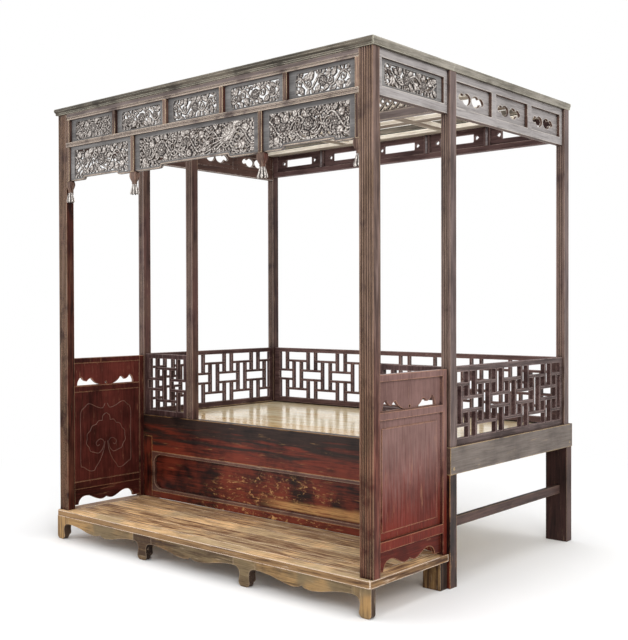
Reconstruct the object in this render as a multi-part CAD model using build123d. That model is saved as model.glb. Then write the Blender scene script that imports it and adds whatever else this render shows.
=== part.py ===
from build123d import *
import math
import os

# Alcove canopy bed, in millimetres.  +Z is up, +X is the right-hand side seen from the front, -Y is the front.
# The pieces are drawn with Y = 0 at the front faces of the front posts, and are moved at the end so that
# the origin lies on the floor under the middle of the whole bed.

# ------------------------------------------------------------------ overall sizes
platform_height = 153       # floor to the walking surface of the step platform
seat_height = 620           # floor to the top of the seat rails
canopy_height = 2300        # floor to the top of the cornice
bed_half_width = 1072       # middle of the bed to the outer face of a side rail
alcove_depth = 545          # front faces of the front posts to front faces of the bed posts
bed_depth = 1175            # front face of the front seat rail to the back of the rear seat rail
platform_nosing = 23        # the platform stands this far in front of the front posts

# ------------------------------------------------------------------ timber sections
front_post_width = 70
front_post_depth = 45
bed_post_width = 46
bed_post_depth = 50
inner_post_width = 50
inner_post_depth = 44
inner_post_place = 630      # middle of the bed to the middle of an inner front post
reed_pitch = 12
reed_groove = 3.6           # radius of the grooves between the reeds
leg_width = 120
leg_thickness = 55
leg_set_in = 4              # the legs stand this far inside the side rail faces
seat_rail_thickness = 45
side_rail_height = 120
front_rail_height = 205
bottom_rail_height = 37
bottom_rail_thickness = 40
bead_size = 17              # width and thickness of the bead round the skirt panel
bead_corner = 51            # radius of its corners
stretcher_height = 44
stretcher_thickness = 22
stretcher_set_in = 40       # behind the legs' outer faces
stretcher_bottom = 252
bearer_width = 60
bearer_height = 50
bearer_count = 3
seat_board_thickness = 18
seat_board_count = 5
seat_board_drop = 8         # the boards lie this far below the rail tops
board_gap = 1               # between neighbouring boards
post_set_in = 6             # bed posts stand this far inside the side rail faces
front_post_set_in = 12
rear_post_set_in = 30       # rear posts stand this far in front of the rear rail's back
rail_lead = 5               # the seat rails stand this far in front of the bed posts

# ------------------------------------------------------------------ joints
tenon = 25                  # usual length of a tenon
frieze_tenon = 10           # tenons of the frieze rails, short because three of them meet in one post
tenon_thickness = 14
tenon_shoulder = 8          # timber left above and below a tenon
post_tenon = 20             # length and side of the stub tenons on the post ends
tongue = 6                  # depth of panel edges in their grooves
peg_radius = 5

# ------------------------------------------------------------------ step platform
platform_half_width = 1061
platform_frame_width = 75
platform_frame_thickness = 30
platform_corner_radius = 18
platform_gap = 2            # between the platform and the bed frame
plank_count = 4
plank_thickness = 24
apron_thickness = 20
apron_set_back = 6
apron_low = 57              # lowest part of the front apron, above the floor
apron_high = 86             # its highest part, beside the feet
apron_cusp = 12             # height of the cusp between its two lobes
ankle_width = 57            # a front foot at its narrowest
foot_depth = 44
foot_place = 353            # middle of the bed to the middle of an inner foot
ear_reach = 40              # how far a foot's top runs out to meet the apron
ear_drop = 34               # height of that curved ear
toe_swell = 5               # the toe is this much wider than the ankle, each way
toe_radius = 21             # rounding of its lower corners, seen from the front
toe_bevel = 16              # and of its lower back edge
rear_leg_width = 92
rear_leg_depth = 52
rear_leg_set_in = 8

# ------------------------------------------------------------------ alcove side panels
side_panel_height = 810     # above the platform
panel_frame_thickness = 32
panel_stile_width = 30
panel_top_rail = 28
panel_middle_rail = 32
panel_lower_rail = 40
panel_apron_height = 97
fret_board_height = 125
panel_board_thickness = 14
panel_recess = 13           # board faces behind the frame face
panel_field_rise = 4        # the raised field stands this far out of its border
panel_bevel = 34            # plain border round the raised field
wave_margin = 42            # stile to the cloud-shaped opening of the fret board
wave_length = 150
wave_rise = 46              # height of its outer peak
wave_hole = 6               # radius of the small hole between the two openings
wave_sill = 4               # timber left under the opening
apron_foot_gap = 12         # platform to the feet of a side panel's apron

# ------------------------------------------------------------------ railings
railing_height = 352        # above the seat rails
railing_thickness = 24
railing_top_rail = 26
railing_bottom_rail = 30
railing_bar = 14
side_stile = 25
rear_stile = 40
short_stile = 22
side_period = 243           # from one wide cell of the fret to the next
rear_period = 245
short_period = 240
pair_share = 0.13           # half the spacing of a bar pair, as a share of the period
fret_levels = (0.19, 0.40, 0.60, 0.81)  # heights of the fret's cross bars, as shares of its own height
narrowest_cell = 5          # cells cut narrower than this by a stile stay closed
railing_stub = 16           # length of the stub tenons under a railing

# ------------------------------------------------------------------ canopy
cornice_thickness = 33
cornice_width = 95
front_overhang = 18         # of the cornice, past the front posts
side_overhang = 10
rear_overhang = 4
cornice_lip = 14            # height of the square edge of the cornice
cornice_round = 3           # the worn-off edge above the lip
frieze_thickness = 32
frieze_set_back = 2
frieze_rail_proud = 4       # the middle rail stands this far in front of the mullions
rail_quirk = 3              # radius of the groove along the frieze rails
quirk_place = 9             # the top rail's groove lies this far above its lower edge
frieze_top_rail = 33
frieze_middle_rail = 23
frieze_upper_height = 121   # height of the row of small carved panels
frieze_lower_height = 180   # height of the row of large carved panels at its ends
frieze_mullion = 22
frieze_end_stile = 22
upper_panel_count = 5
hanging_post_place = 440    # middle of the bed to the middle of a hanging post
frieze_panel_thickness = 14
upper_panel_recess = 18     # panel faces behind the faces of the mullions
lower_panel_recess = 12
frieze_field_sink = 4       # the carved field lies this far below the panel's border
frieze_side_border = 34     # plain border at a panel's ends
frieze_top_border = 18
frieze_low_border = 12
frieze_corner_cut = 12      # the field's cut corners
shoulder_share = 0.23       # part of a lower panel's width that its low end takes
centre_arch = 18            # rise of the middle panel's lower edge
side_arch = 14              # rise of the outer panels' lower edges
finial_height = 112
finial_width = 56
finial_depth = 36
side_frieze_height = 187    # cornice to the lower edge of the side friezes
side_frieze_rail = 38
side_frieze_stile = 25
side_frieze_mullion = 38
side_bay_count = 3
carved_board_recess = 14    # the alcove's board faces behind the frame face
pierced_board_recess = 18   # the bed's boards, flush with the frame on the inside
rear_frieze_height = 167
rear_frieze_rail = 30
rear_bay_count = 5
slot_length = 222           # the long opening in the middle of a rear frieze board
slot_height = 46
slot_hole = 11              # radius of the hole at each of its ends
slot_hole_gap = 18          # from the slot's end to the hole's middle
slot_hole_point = 17        # the hole's point, away from the slot, from its middle
cloud_length = 104          # a cloud-shaped opening in a side frieze board
cloud_height = 52
cloud_gap = 10              # timber between the two clouds of a board
inner_frieze_height = 169
inner_frieze_rail = 38
frieze_step = 4             # the rear and inner friezes stand this far behind the post faces
fret_bar = 8                # width of a bar of the slanting fret
fret_pitch = 31             # from one long bar to the next
fret_tick = 0.55            # length of a short bar's stub, as a share of the cell's width
rib_width = 70
rib_thickness = 22
rib_count = 4
cross_rib_place = 356
ceiling_drop = 10           # rib tops below the cornice's underside

# ------------------------------------------------------------------ places worked out from the sizes
seat_front = alcove_depth - rail_lead
seat_back = seat_front + bed_depth
post_outer = bed_half_width - post_set_in
post_inner = post_outer - bed_post_width
front_post_outer = bed_half_width - front_post_set_in
front_post_inner = front_post_outer - front_post_width
bed_post_back = alcove_depth + bed_post_depth
rear_post_back = seat_back - rear_post_set_in
rear_post_front = rear_post_back - bed_post_depth
rail_inner = bed_half_width - seat_rail_thickness
leg_outer = bed_half_width - leg_set_in
leg_inner = leg_outer - leg_width
side_rail_bottom = seat_height - side_rail_height
front_rail_bottom = seat_height - front_rail_height
railing_top = seat_height + railing_height
railing_centre = post_outer - bed_post_width / 2
cornice_bottom = canopy_height - cornice_thickness
platform_front = -platform_nosing
platform_back = seat_front - platform_gap
platform_under = platform_height - platform_frame_thickness
panel_top = platform_height + side_panel_height
panel_outer = post_inner + panel_frame_thickness
frieze_back = frieze_set_back + frieze_thickness
frieze_middle_top = cornice_bottom - frieze_top_rail - frieze_upper_height
frieze_middle_bottom = frieze_middle_top - frieze_middle_rail
frieze_low = frieze_middle_bottom - frieze_lower_height
inner_frieze_back = alcove_depth + frieze_thickness
origin_y = (platform_front + seat_back) / 2

parts = {}      # node name: its separate solids
housings = []   # (node with the mortise, node with the tenon)


# ------------------------------------------------------------------ drawing helpers
def block(x, y, z):
    """A straight timber between two X, two Y and two Z values."""
    middle = Pos((x[0] + x[1]) / 2, (y[0] + y[1]) / 2, (z[0] + z[1]) / 2)
    return middle * Box(x[1] - x[0], y[1] - y[0], z[1] - z[0])


def rect(u, v):
    """A rectangle of a board's own plane, between two values each way."""
    return Pos((u[0] + u[1]) / 2, (v[0] + v[1]) / 2) * Rectangle(u[1] - u[0], v[1] - v[0])


def soft_rect(u, v, radius):
    """The same with rounded corners."""
    middle = Pos((u[0] + u[1]) / 2, (v[0] + v[1]) / 2)
    return middle * RectangleRounded(u[1] - u[0], v[1] - v[0], radius)


def face(*points):
    """A face with straight sides."""
    return make_face(Polyline(*points, close=True))


def front_board(shape, front, thickness):
    """A board drawn in X and Z, whose front face lies at Y = front."""
    plane = Plane((0, front, 0), x_dir=(1, 0, 0), z_dir=(0, -1, 0))
    return plane * extrude(shape, thickness, dir=(0, 0, -1))


def side_board(shape, outer, thickness):
    """A board drawn in Y and Z, whose right-hand face lies at X = outer."""
    plane = Plane((outer, 0, 0), x_dir=(0, 1, 0), z_dir=(1, 0, 0))
    return plane * extrude(shape, thickness, dir=(0, 0, -1))


def other_side(solid):
    """The same piece on the left-hand side of the bed."""
    return mirror(solid, about=Plane.YZ)


def put(name, *solids):
    """Adds solids to a node."""
    parts.setdefault(name, []).extend(solids)


def put_pair(name, *solids):
    """Adds solids to the right-hand node and their mirror images to the left-hand one."""
    put(name + "_right", *solids)
    put(name + "_left", *[other_side(solid) for solid in solids])


def house(host, *guests):
    """The host is mortised for whatever of the guests reaches into it."""
    housings.extend((host, guest) for guest in guests)


def house_pair(host, *guests):
    """The same for a left and a right host with left and right guests."""
    for side in ("_left", "_right"):
        house(host + side, *[guest + side for guest in guests])


def x_tenon(x, y_middle, z):
    """A tenon that runs along X, in the middle of a rail's thickness."""
    half = tenon_thickness / 2
    return block(x, (y_middle - half, y_middle + half), (z[0] + tenon_shoulder, z[1] - tenon_shoulder))


def y_tenon(x_middle, y, z):
    """A tenon that runs along Y."""
    half = tenon_thickness / 2
    return block((x_middle - half, x_middle + half), y, (z[0] + tenon_shoulder, z[1] - tenon_shoulder))


def x_rail(reach, y, z, length=tenon):
    """A rail along X from -reach to reach, with a tenon at each end."""
    middle = (y[0] + y[1]) / 2
    return block((-reach, reach), y, z) + x_tenon((-reach - length, reach + length), middle, z)


def y_rail(x, y, z, length=tenon):
    """A rail along Y with a tenon at each end."""
    return block(x, y, z) + y_tenon((x[0] + x[1]) / 2, (y[0] - length, y[1] + length), z)


# ------------------------------------------------------------------ step platform
def platform_outline():
    """The platform's plan, with its two front corners rounded."""
    plan = rect((-platform_half_width, platform_half_width), (platform_front, platform_back))
    corners = plan.vertices().filter_by_position(Axis.Y, platform_front - 1, platform_front + 1)
    return fillet(corners, platform_corner_radius)


def make_platform_frame():
    """Four rails, mitred at the corners, with a groove for the planks."""
    slab = Pos(0, 0, platform_under) * extrude(platform_outline(), platform_frame_thickness)
    wide = platform_half_width
    width = platform_frame_width
    inner_x = wide - width
    inner_front = platform_front + width
    inner_back = platform_back - width
    front = face((-wide, platform_front), (wide, platform_front), (inner_x, inner_front), (-inner_x, inner_front))
    back = face((-wide, platform_back), (wide, platform_back), (inner_x, inner_back), (-inner_x, inner_back))
    end = face((wide, platform_front), (wide, platform_back), (inner_x, inner_back), (inner_x, inner_front))
    for name, wedge in (("front_rail", front), ("rear_rail", back), ("end_rail_right", end)):
        rail = slab & (Pos(0, 0, platform_under) * extrude(wedge, platform_frame_thickness))
        put("platform_" + name, rail)
    put("platform_end_rail_left", other_side(parts["platform_end_rail_right"][0]))


def make_platform_planks():
    """Long planks, tongued all round into the frame."""
    inner_x = platform_half_width - platform_frame_width
    start = platform_front + platform_frame_width
    pitch = (platform_back - platform_frame_width - start) / plank_count
    top = platform_height
    tongue_z = (top - plank_thickness, top - plank_thickness / 2)
    for number in range(plank_count):
        first, last = number == 0, number == plank_count - 1
        y = (start + number * pitch, start + (number + 1) * pitch - (0 if last else board_gap))
        plank = block((-inner_x, inner_x), y, (top - plank_thickness, top))
        tongue_y = (y[0] - (tongue if first else 0), y[1] + (tongue if last else 0))
        plank += block((-inner_x - tongue, inner_x + tongue), tongue_y, tongue_z)
        put("platform_planks", plank)
    for rail in ("front_rail", "rear_rail", "end_rail_left", "end_rail_right"):
        house("platform_" + rail, "platform_planks")


def foot_side(middle, side):
    """One edge of a front foot in X and Z: a curved ear under the platform, an ankle and a swelling toe."""
    half = ankle_width / 2
    ear = Spline(
        (middle + side * (half + ear_reach), apron_high),
        (middle + side * (half + ear_reach / 4), apron_high - ear_drop / 4),
        (middle + side * half, apron_high - ear_drop),
        tangents=[(-side, 0), (0, -1)],
    )
    ankle = Line((middle + side * half, apron_high - ear_drop), (middle + side * (half + toe_swell), toe_radius))
    return [ear, ankle, toe_arc(middle + side * (half + toe_swell), side)]


def toe_arc(edge, side):
    """The round lower corner of a toe whose edge is at an X, on its left (side -1) or right (side 1)."""
    inset = toe_radius * (1 - math.cos(math.pi / 4))
    return ThreePointArc((edge, toe_radius), (edge - side * inset, inset), (edge - side * toe_radius, 0))


def inner_foot():
    """A foot with an ear each way."""
    half = ankle_width / 2
    top = Polyline(
        (foot_place - half - ear_reach, apron_high),
        (foot_place - half - ear_reach, platform_under),
        (foot_place + half + ear_reach, platform_under),
        (foot_place + half + ear_reach, apron_high),
    )
    floor = Line(
        (foot_place - half - toe_swell + toe_radius, 0), (foot_place + half + toe_swell - toe_radius, 0))
    return make_face(foot_side(foot_place, -1) + foot_side(foot_place, 1) + [top, floor])


def corner_foot():
    """A foot with one ear, straight down its outer edge."""
    middle = platform_half_width - ankle_width / 2
    inner_floor = middle - ankle_width / 2 - toe_swell + toe_radius
    floor = Line((inner_floor, 0), (platform_half_width - toe_radius, 0))
    outer = Polyline(
        (platform_half_width, toe_radius),
        (platform_half_width, platform_under),
        (middle - ankle_width / 2 - ear_reach, platform_under),
        (middle - ankle_width / 2 - ear_reach, apron_high),
    )
    return make_face(foot_side(middle, -1) + [floor, toe_arc(platform_half_width, 1), outer])


def make_platform_feet():
    """Two corner feet, two inner feet with ears both ways, and two plain rear legs."""
    front = platform_front + apron_set_back
    for shape in (corner_foot(), inner_foot()):
        foot = front_board(shape, front, foot_depth)
        heel = foot.faces().sort_by(Axis.Z)[0].edges().filter_by(Axis.X).sort_by(Axis.Y)[-1]
        foot = chamfer(heel, toe_bevel)
        put("platform_feet", foot, other_side(foot))
    leg_end = platform_half_width - rear_leg_set_in
    leg_y = (platform_back - rear_leg_depth, platform_back)
    leg = block((leg_end - rear_leg_width, leg_end), leg_y, (0, platform_under))
    put("platform_feet", leg, other_side(leg))


def apron_board(left, right):
    """A front apron between two feet: two low lobes that meet in a cusp, and high beside the feet."""
    middle = (left + right) / 2
    half = (right - left) / 2
    rise = apron_high - apron_low

    def lower_edge(side):
        lobe = Spline(
            (middle, apron_low + apron_cusp),
            (middle + side * half * 0.07, apron_low + apron_cusp * 0.3),
            (middle + side * half * 0.2, apron_low),
            (middle + side * half * 0.4, apron_low + rise * 0.2),
        )
        sweep = Spline(
            (middle + side * half * 0.4, apron_low + rise * 0.2),
            (middle + side * half * 0.75, apron_low + rise * 0.85),
            (middle + side * half, apron_high),
        )
        return [lobe, sweep]

    top = Polyline((left, apron_high), (left, platform_under), (right, platform_under), (right, apron_high))
    return make_face(lower_edge(-1) + [top] + lower_edge(1))


def make_platform_apron():
    """Three scalloped boards between the ears of the four front feet."""
    front = platform_front + apron_set_back
    reach = ankle_width / 2 + ear_reach
    corner = platform_half_width - ankle_width / 2 - reach
    near = foot_place - reach
    far = foot_place + reach
    for left, right in ((-corner, -far), (-near, near), (far, corner)):
        put("platform_apron", front_board(apron_board(left, right), front, apron_thickness))


# ------------------------------------------------------------------ posts
def square_tenon(x_middle, y_middle, z):
    """A stub tenon on the end of a post."""
    half = post_tenon / 2
    return block((x_middle - half, x_middle + half), (y_middle - half, y_middle + half), z)


def reeded(x, y, grooves):
    """A post's section: a rectangle with grooves down its front face that leave reeds between them."""
    section = rect(x, y)
    middle = (x[0] + x[1]) / 2
    for number in range(grooves):
        place = middle + (number - (grooves - 1) / 2) * reed_pitch
        section -= Pos(place, y[0]) * Circle(reed_groove)
    return section


def post(x, y, z, grooves, tenon_up):
    """A reeded post with a stub tenon at each end."""
    shaft = Pos(0, 0, z[0]) * extrude(reeded(x, y, grooves), z[1] - z[0])
    middle = ((x[0] + x[1]) / 2, (y[0] + y[1]) / 2)
    return shaft + square_tenon(*middle, (z[0] - post_tenon, z[0])) + square_tenon(*middle, (z[1], z[1] + tenon_up))


def make_posts():
    """Front posts from the platform to the cornice, bed posts from the seat rails to the cornice."""
    cornice_tenon = cornice_thickness / 2
    front_x = (front_post_inner, front_post_outer)
    heights = (platform_height, cornice_bottom)
    put_pair("front_post", post(front_x, (0, front_post_depth), heights, 5, cornice_tenon))
    bed_x = (post_inner, post_outer)
    heights = (seat_height, cornice_bottom)
    put_pair("bed_post_front", post(bed_x, (alcove_depth, bed_post_back), heights, 2, cornice_tenon))
    put_pair("bed_post_rear", post(bed_x, (rear_post_front, rear_post_back), heights, 2, cornice_tenon))
    inner_x = (inner_post_place - inner_post_width / 2, inner_post_place + inner_post_width / 2)
    inner_y = (alcove_depth, alcove_depth + inner_post_depth)
    heights = (seat_height, cornice_bottom - inner_frieze_height)
    put_pair("inner_post", post(inner_x, inner_y, heights, 3, post_tenon))
    house_pair("platform_end_rail", "front_post")
    for side in ("_left", "_right"):
        house("platform_front_rail", "front_post" + side)
        house("platform_planks", "front_post" + side)
        house("side_rail" + side, "bed_post_front" + side, "bed_post_rear" + side)
        house("seat_front_rail", "inner_post" + side, "bed_post_front" + side)
        house("inner_frieze", "inner_post" + side)
        house("cornice" + side, "bed_post_front" + side, "bed_post_rear" + side, "front_post" + side)
        house("cornice_front", "front_post" + side)
        house("cornice_rear", "bed_post_rear" + side)


# ------------------------------------------------------------------ bed base
def make_legs():
    """Four board legs, tenoned up into the side rails."""
    tenon_x = (bed_half_width - seat_rail_thickness + tenon_shoulder, bed_half_width - tenon_shoulder)
    for name, front in (("front", seat_front), ("rear", seat_back - leg_thickness)):
        board = block((leg_inner, leg_outer), (front, front + leg_thickness), (0, side_rail_bottom))
        tenon_y = (front + tenon_shoulder, front + leg_thickness - tenon_shoulder)
        board += block(tenon_x, tenon_y, (side_rail_bottom, side_rail_bottom + 2 * tenon))
        put_pair("leg_" + name, board)
    house_pair("side_rail", "leg_front", "leg_rear")


def make_seat_rails():
    """Side rails the whole length, front and rear rails tenoned between them."""
    side_x = (rail_inner, bed_half_width)
    side_z = (side_rail_bottom, seat_height)
    put_pair("side_rail", block(side_x, (seat_front, seat_back), side_z))
    front_y = (seat_front, seat_front + seat_rail_thickness)
    front = x_rail(rail_inner, front_y, side_z)
    front += block((-leg_inner, leg_inner), front_y, (front_rail_bottom, side_rail_bottom))
    put("seat_front_rail", front)
    put("seat_rear_rail", x_rail(rail_inner, (seat_back - seat_rail_thickness, seat_back), side_z))
    for side in ("_left", "_right"):
        house("side_rail" + side, "seat_front_rail", "seat_rear_rail")
        house("seat_front_rail", "leg_front" + side)
        house("seat_rear_rail", "leg_rear" + side)


def make_stretchers():
    """One low stretcher each side, between the front and the rear leg."""
    outer = leg_outer - stretcher_set_in
    x = (outer - stretcher_thickness, outer)
    y = (seat_front + leg_thickness, seat_back - leg_thickness)
    rail = y_rail(x, y, (stretcher_bottom, stretcher_bottom + stretcher_height))
    put("side_stretchers", rail, other_side(rail))
    for side in ("_left", "_right"):
        house("leg_front" + side, "side_stretchers")
        house("leg_rear" + side, "side_stretchers")


def make_seat():
    """Bearers from front to back, and boards laid across them."""
    front = seat_front + seat_rail_thickness
    back = seat_back - seat_rail_thickness
    top = seat_height - seat_board_drop
    under = top - seat_board_thickness
    spacing = 2 * rail_inner / (bearer_count + 1)
    for number in range(bearer_count):
        middle = -rail_inner + (number + 1) * spacing
        x = (middle - bearer_width / 2, middle + bearer_width / 2)
        put("seat_bearers", y_rail(x, (front, back), (under - bearer_height, under)))
    pitch = (back - front) / seat_board_count
    for number in range(seat_board_count):
        gap = 0 if number == seat_board_count - 1 else board_gap
        y = (front + number * pitch, front + (number + 1) * pitch - gap)
        put("seat_boards", block((-rail_inner, rail_inner), y, (under, top)))
    house("seat_front_rail", "seat_bearers")
    house("seat_rear_rail", "seat_bearers")


def make_skirt():
    """The closed front of the bed under the seat rail: bottom rail, sunk panel and a round-cornered bead."""
    low = platform_height + bottom_rail_height
    rail_y = (seat_front, seat_front + bottom_rail_thickness)
    put("skirt_bottom_rail", x_rail(leg_inner, rail_y, (platform_height, low)))
    panel = rect((-leg_inner - tongue, leg_inner + tongue), (low - tongue, front_rail_bottom + tongue))
    put("skirt_panel", front_board(panel, seat_front + bead_size, panel_board_thickness))
    ring = rect((-leg_inner, leg_inner), (low, front_rail_bottom))
    ring -= soft_rect(
        (bead_size - leg_inner, leg_inner - bead_size), (low + bead_size, front_rail_bottom - bead_size), bead_corner)
    put("skirt_bead", front_board(ring, seat_front, bead_size))
    for host in ("seat_front_rail", "skirt_bottom_rail", "leg_front_left", "leg_front_right"):
        house(host, "skirt_panel")
    house("leg_front_left", "skirt_bottom_rail")
    house("leg_front_right", "skirt_bottom_rail")


def make_pegs():
    """Pegs through the side rails and the leg tenons."""
    z = side_rail_bottom + tenon
    for middle in (seat_front + leg_thickness / 2, seat_back - leg_thickness / 2):
        peg = Pos(bed_half_width - seat_rail_thickness / 2, middle, z)
        peg *= Rot(0, 90, 0) * Cylinder(peg_radius, seat_rail_thickness)
        put("joint_pegs", peg, other_side(peg))
    for host in ("side_rail_left", "side_rail_right", "leg_front_left", "leg_front_right", "leg_rear_left",
                 "leg_rear_right", "seat_front_rail", "seat_rear_rail"):
        house(host, "joint_pegs")


# ------------------------------------------------------------------ railings
def fret_cells(centre, low, high, period, bar):
    """The openings of one unit of the key fret, round a wide cell centred at centre."""
    pair = pair_share * period
    half_bar = bar / 2
    tall = high - low
    h4, h3, h2, h1 = [low + level * tall for level in fret_levels]
    wide = period / 2 - pair - half_bar
    next_centre = centre + period / 2
    cells = [
        (centre - wide, centre + wide, h1 + half_bar, high),
        (centre - wide, centre + wide, low, h4 - half_bar),
        (next_centre - wide, next_centre + wide, h3 + half_bar, h2 - half_bar),
        (next_centre - pair + half_bar, next_centre + pair - half_bar, h2 + half_bar, high),
        (next_centre - pair + half_bar, next_centre + pair - half_bar, low, h3 - half_bar),
        (centre - pair + half_bar, centre + pair - half_bar, h4 + half_bar, h1 - half_bar),
    ]
    for side in (-1, 1):
        ends = sorted((centre + side * (pair + half_bar), centre + side * wide))
        cells.append((*ends, h2 + half_bar, h1 - half_bar))
        cells.append((*ends, h4 + half_bar, h3 - half_bar))
    return cells


def railing(span, period, first_centre, stile):
    """A fret railing as one face: its frame and bars are what the openings leave."""
    low = seat_height + railing_bottom_rail
    high = railing_top - railing_top_rail
    left, right = span[0] + stile, span[1] - stile
    board = rect(span, (seat_height, railing_top))
    count = math.ceil((right - first_centre) / period) + 1
    for number in range(-1, count):
        for u0, u1, v0, v1 in fret_cells(first_centre + number * period, low, high, period, railing_bar):
            u0, u1 = max(u0, left), min(u1, right)
            if u1 - u0 > narrowest_cell:
                board -= rect((u0, u1), (v0, v1))
    return board


def railing_stubs(places, thickness_range, along_x):
    """Stub tenons that hold a railing on its seat rail."""
    z = (seat_height - railing_stub, seat_height)
    half = post_tenon / 2
    stubs = []
    for place in places:
        along = (place - half, place + half)
        stubs.append(block(along, thickness_range, z) if along_x else block(thickness_range, along, z))
    return stubs


def make_railings():
    """Rear, side and short front railings between the posts, standing on the seat rails."""
    half = railing_thickness / 2
    inset = railing_thickness / 4
    side_span = (bed_post_back, rear_post_front)
    middle = (side_span[0] + side_span[1]) / 2
    first = middle - 2 * side_period
    side = side_board(railing(side_span, side_period, first, side_stile), railing_centre + half, railing_thickness)
    quarter = (side_span[1] - side_span[0]) / 4
    side_range = (railing_centre - half + inset, railing_centre + half - inset)
    for stub in railing_stubs((side_span[0] + quarter, side_span[1] - quarter), side_range, False):
        side += stub
    put_pair("railing_side", side)
    rear_middle = (rear_post_front + rear_post_back) / 2
    rear_span = (-post_inner, post_inner)
    rear_first = rear_span[0] + rear_stile + (0.5 + pair_share) * rear_period
    put("railing_rear", front_board(
        railing(rear_span, rear_period, rear_first, rear_stile), rear_middle - half, railing_thickness))
    front_middle = alcove_depth + inner_post_depth / 2
    short_span = (inner_post_place + inner_post_width / 2, post_inner)
    short_centre = (short_span[0] + short_span[1]) / 2
    short = front_board(
        railing(short_span, short_period, short_centre, short_stile), front_middle - half, railing_thickness)
    short_range = (front_middle - half + inset, front_middle + half - inset)
    reach = (short_span[1] - short_span[0]) / 4
    for stub in railing_stubs((short_centre - reach, short_centre + reach), short_range, True):
        short += stub
    put_pair("railing_short", short)
    for side_name in ("_left", "_right"):
        house("side_rail" + side_name, "railing_side" + side_name)
        house("seat_front_rail", "railing_short" + side_name)


# ------------------------------------------------------------------ alcove side panels
def wave_opening(start, length, floor_level, rise):
    """A low opening with two peaks, the outer one higher, drawn in Y and Z."""

    def at(along, up):
        return start + along * length, floor_level + up * rise

    outline = [
        ThreePointArc(at(0, 0), at(0.05, 0.62), at(0.18, 1)),
        ThreePointArc(at(0.18, 1), at(0.27, 0.60), at(0.42, 0.42)),
        ThreePointArc(at(0.42, 0.42), at(0.52, 0.72), at(0.62, 0.78)),
        ThreePointArc(at(0.62, 0.78), at(0.76, 0.30), at(1, 0)),
        Line(at(1, 0), at(0, 0)),
    ]
    return make_face(outline)


def panel_apron_face(front, back, low, high):
    """The side panel's apron: an arch near each end and a cusp in the middle of its lower edge."""
    middle = (front + back) / 2
    half = (back - front) / 2
    rise = (high - low) * 0.5

    def lower_edge(side):
        foot = Line((middle + side * half, low), (middle + side * half * 0.8, low))
        arch = Spline(
            (middle + side * half * 0.8, low),
            (middle + side * half * 0.72, low + rise * 0.8),
            (middle + side * half * 0.55, low + rise),
            (middle + side * half * 0.2, low + rise * 0.28),
            (middle, low + rise * 0.5),
        )
        return [foot, arch]

    top = Polyline((front, low), (front, high), (back, high), (back, low))
    return make_face([top] + lower_edge(-1) + lower_edge(1))


def make_side_panels():
    """Framed panels that close the alcove's sides up to elbow height."""
    x = (post_inner, panel_outer)
    front, back = front_post_depth, seat_front - panel_stile_width
    apron_top = platform_height + panel_apron_height
    board_low = apron_top + panel_lower_rail
    fret_low = panel_top - panel_top_rail - fret_board_height
    board_high = fret_low - panel_middle_rail
    board_outer = panel_outer - panel_recess
    stile = block(x, (back, seat_front), (platform_height, panel_top))
    rails = [
        y_rail(x, (front, back), (apron_top, board_low)),
        y_rail(x, (front, back), (board_high, fret_low)),
        y_rail(x, (front, back), (panel_top - panel_top_rail, panel_top)),
    ]
    for rail in rails:
        stile -= rail
    board = side_board(rect((front, back), (board_low, board_high)), board_outer, panel_board_thickness)
    field = rect((front + panel_bevel, back - panel_bevel), (board_low + panel_bevel, board_high - panel_bevel))
    board += side_board(field, board_outer + panel_field_rise, panel_field_rise)
    fret = rect((front, back), (fret_low, panel_top - panel_top_rail))
    middle = (front + back) / 2
    wave = wave_opening(front + wave_margin, wave_length, fret_low + wave_sill, wave_rise)
    fret -= wave
    fret -= mirror(wave, about=Plane((middle, 0, 0), z_dir=(1, 0, 0)))
    fret -= Pos(middle, fret_low + 2 * wave_hole) * Circle(wave_hole)
    apron = panel_apron_face(front, back, platform_height + apron_foot_gap, apron_top)
    put_pair("side_panel_frame", stile, *rails)
    put_pair("side_panel_board", board)
    put_pair("side_panel_fret", side_board(fret, board_outer, panel_board_thickness))
    put_pair("side_panel_apron", side_board(apron, board_outer, panel_board_thickness))
    house_pair("front_post", "side_panel_frame")


# ------------------------------------------------------------------ front frieze
def chamfered(u, v, cut):
    """A rectangle with its four corners cut off."""
    return face(
        (u[0] + cut, v[0]), (u[1] - cut, v[0]), (u[1], v[0] + cut), (u[1], v[1] - cut),
        (u[1] - cut, v[1]), (u[0] + cut, v[1]), (u[0], v[1] - cut), (u[0], v[0] + cut),
    )


def carved_panel(shape, field, recess):
    """A frieze panel: a plain border round a sunk field on both sides."""
    front = frieze_set_back + recess
    back = front + frieze_panel_thickness
    panel = front_board(shape, front, frieze_panel_thickness)
    panel -= front_board(field, front, frieze_field_sink)
    return panel - front_board(field, back - frieze_field_sink, frieze_field_sink)


def arched_shape(u, v, rise, end):
    """A shape whose lower edge swings up by rise, at a distance end from each side."""
    left, right = u
    low, high = v

    def shoulder(corner, side):
        outer = Line((corner, low), (corner + side * (end - rise), low))
        swing = ThreePointArc(
            (corner + side * (end - rise), low),
            (corner + side * (end - rise * 0.35), low + rise * 0.3),
            (corner + side * end, low + rise),
        )
        return [outer, swing]

    bottom = Line((left + end, low + rise), (right - end, low + rise))
    top = Polyline((left, low), (left, high), (right, high), (right, low))
    return make_face(shoulder(left, 1) + [bottom] + shoulder(right, -1) + [top])


def lower_panel(left, right, rise):
    """A large frieze panel whose carved field follows its stepped lower edge."""
    end = shoulder_share * (right - left)
    shape = arched_shape((left, right), (frieze_low, frieze_middle_bottom), rise, end)
    field_u = (left + frieze_side_border, right - frieze_side_border)
    field_v = (frieze_low + frieze_low_border, frieze_middle_bottom - frieze_top_border)
    field_end = end - frieze_side_border - frieze_low_border / 2
    return carved_panel(shape, arched_shape(field_u, field_v, rise, field_end), lower_panel_recess)


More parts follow.
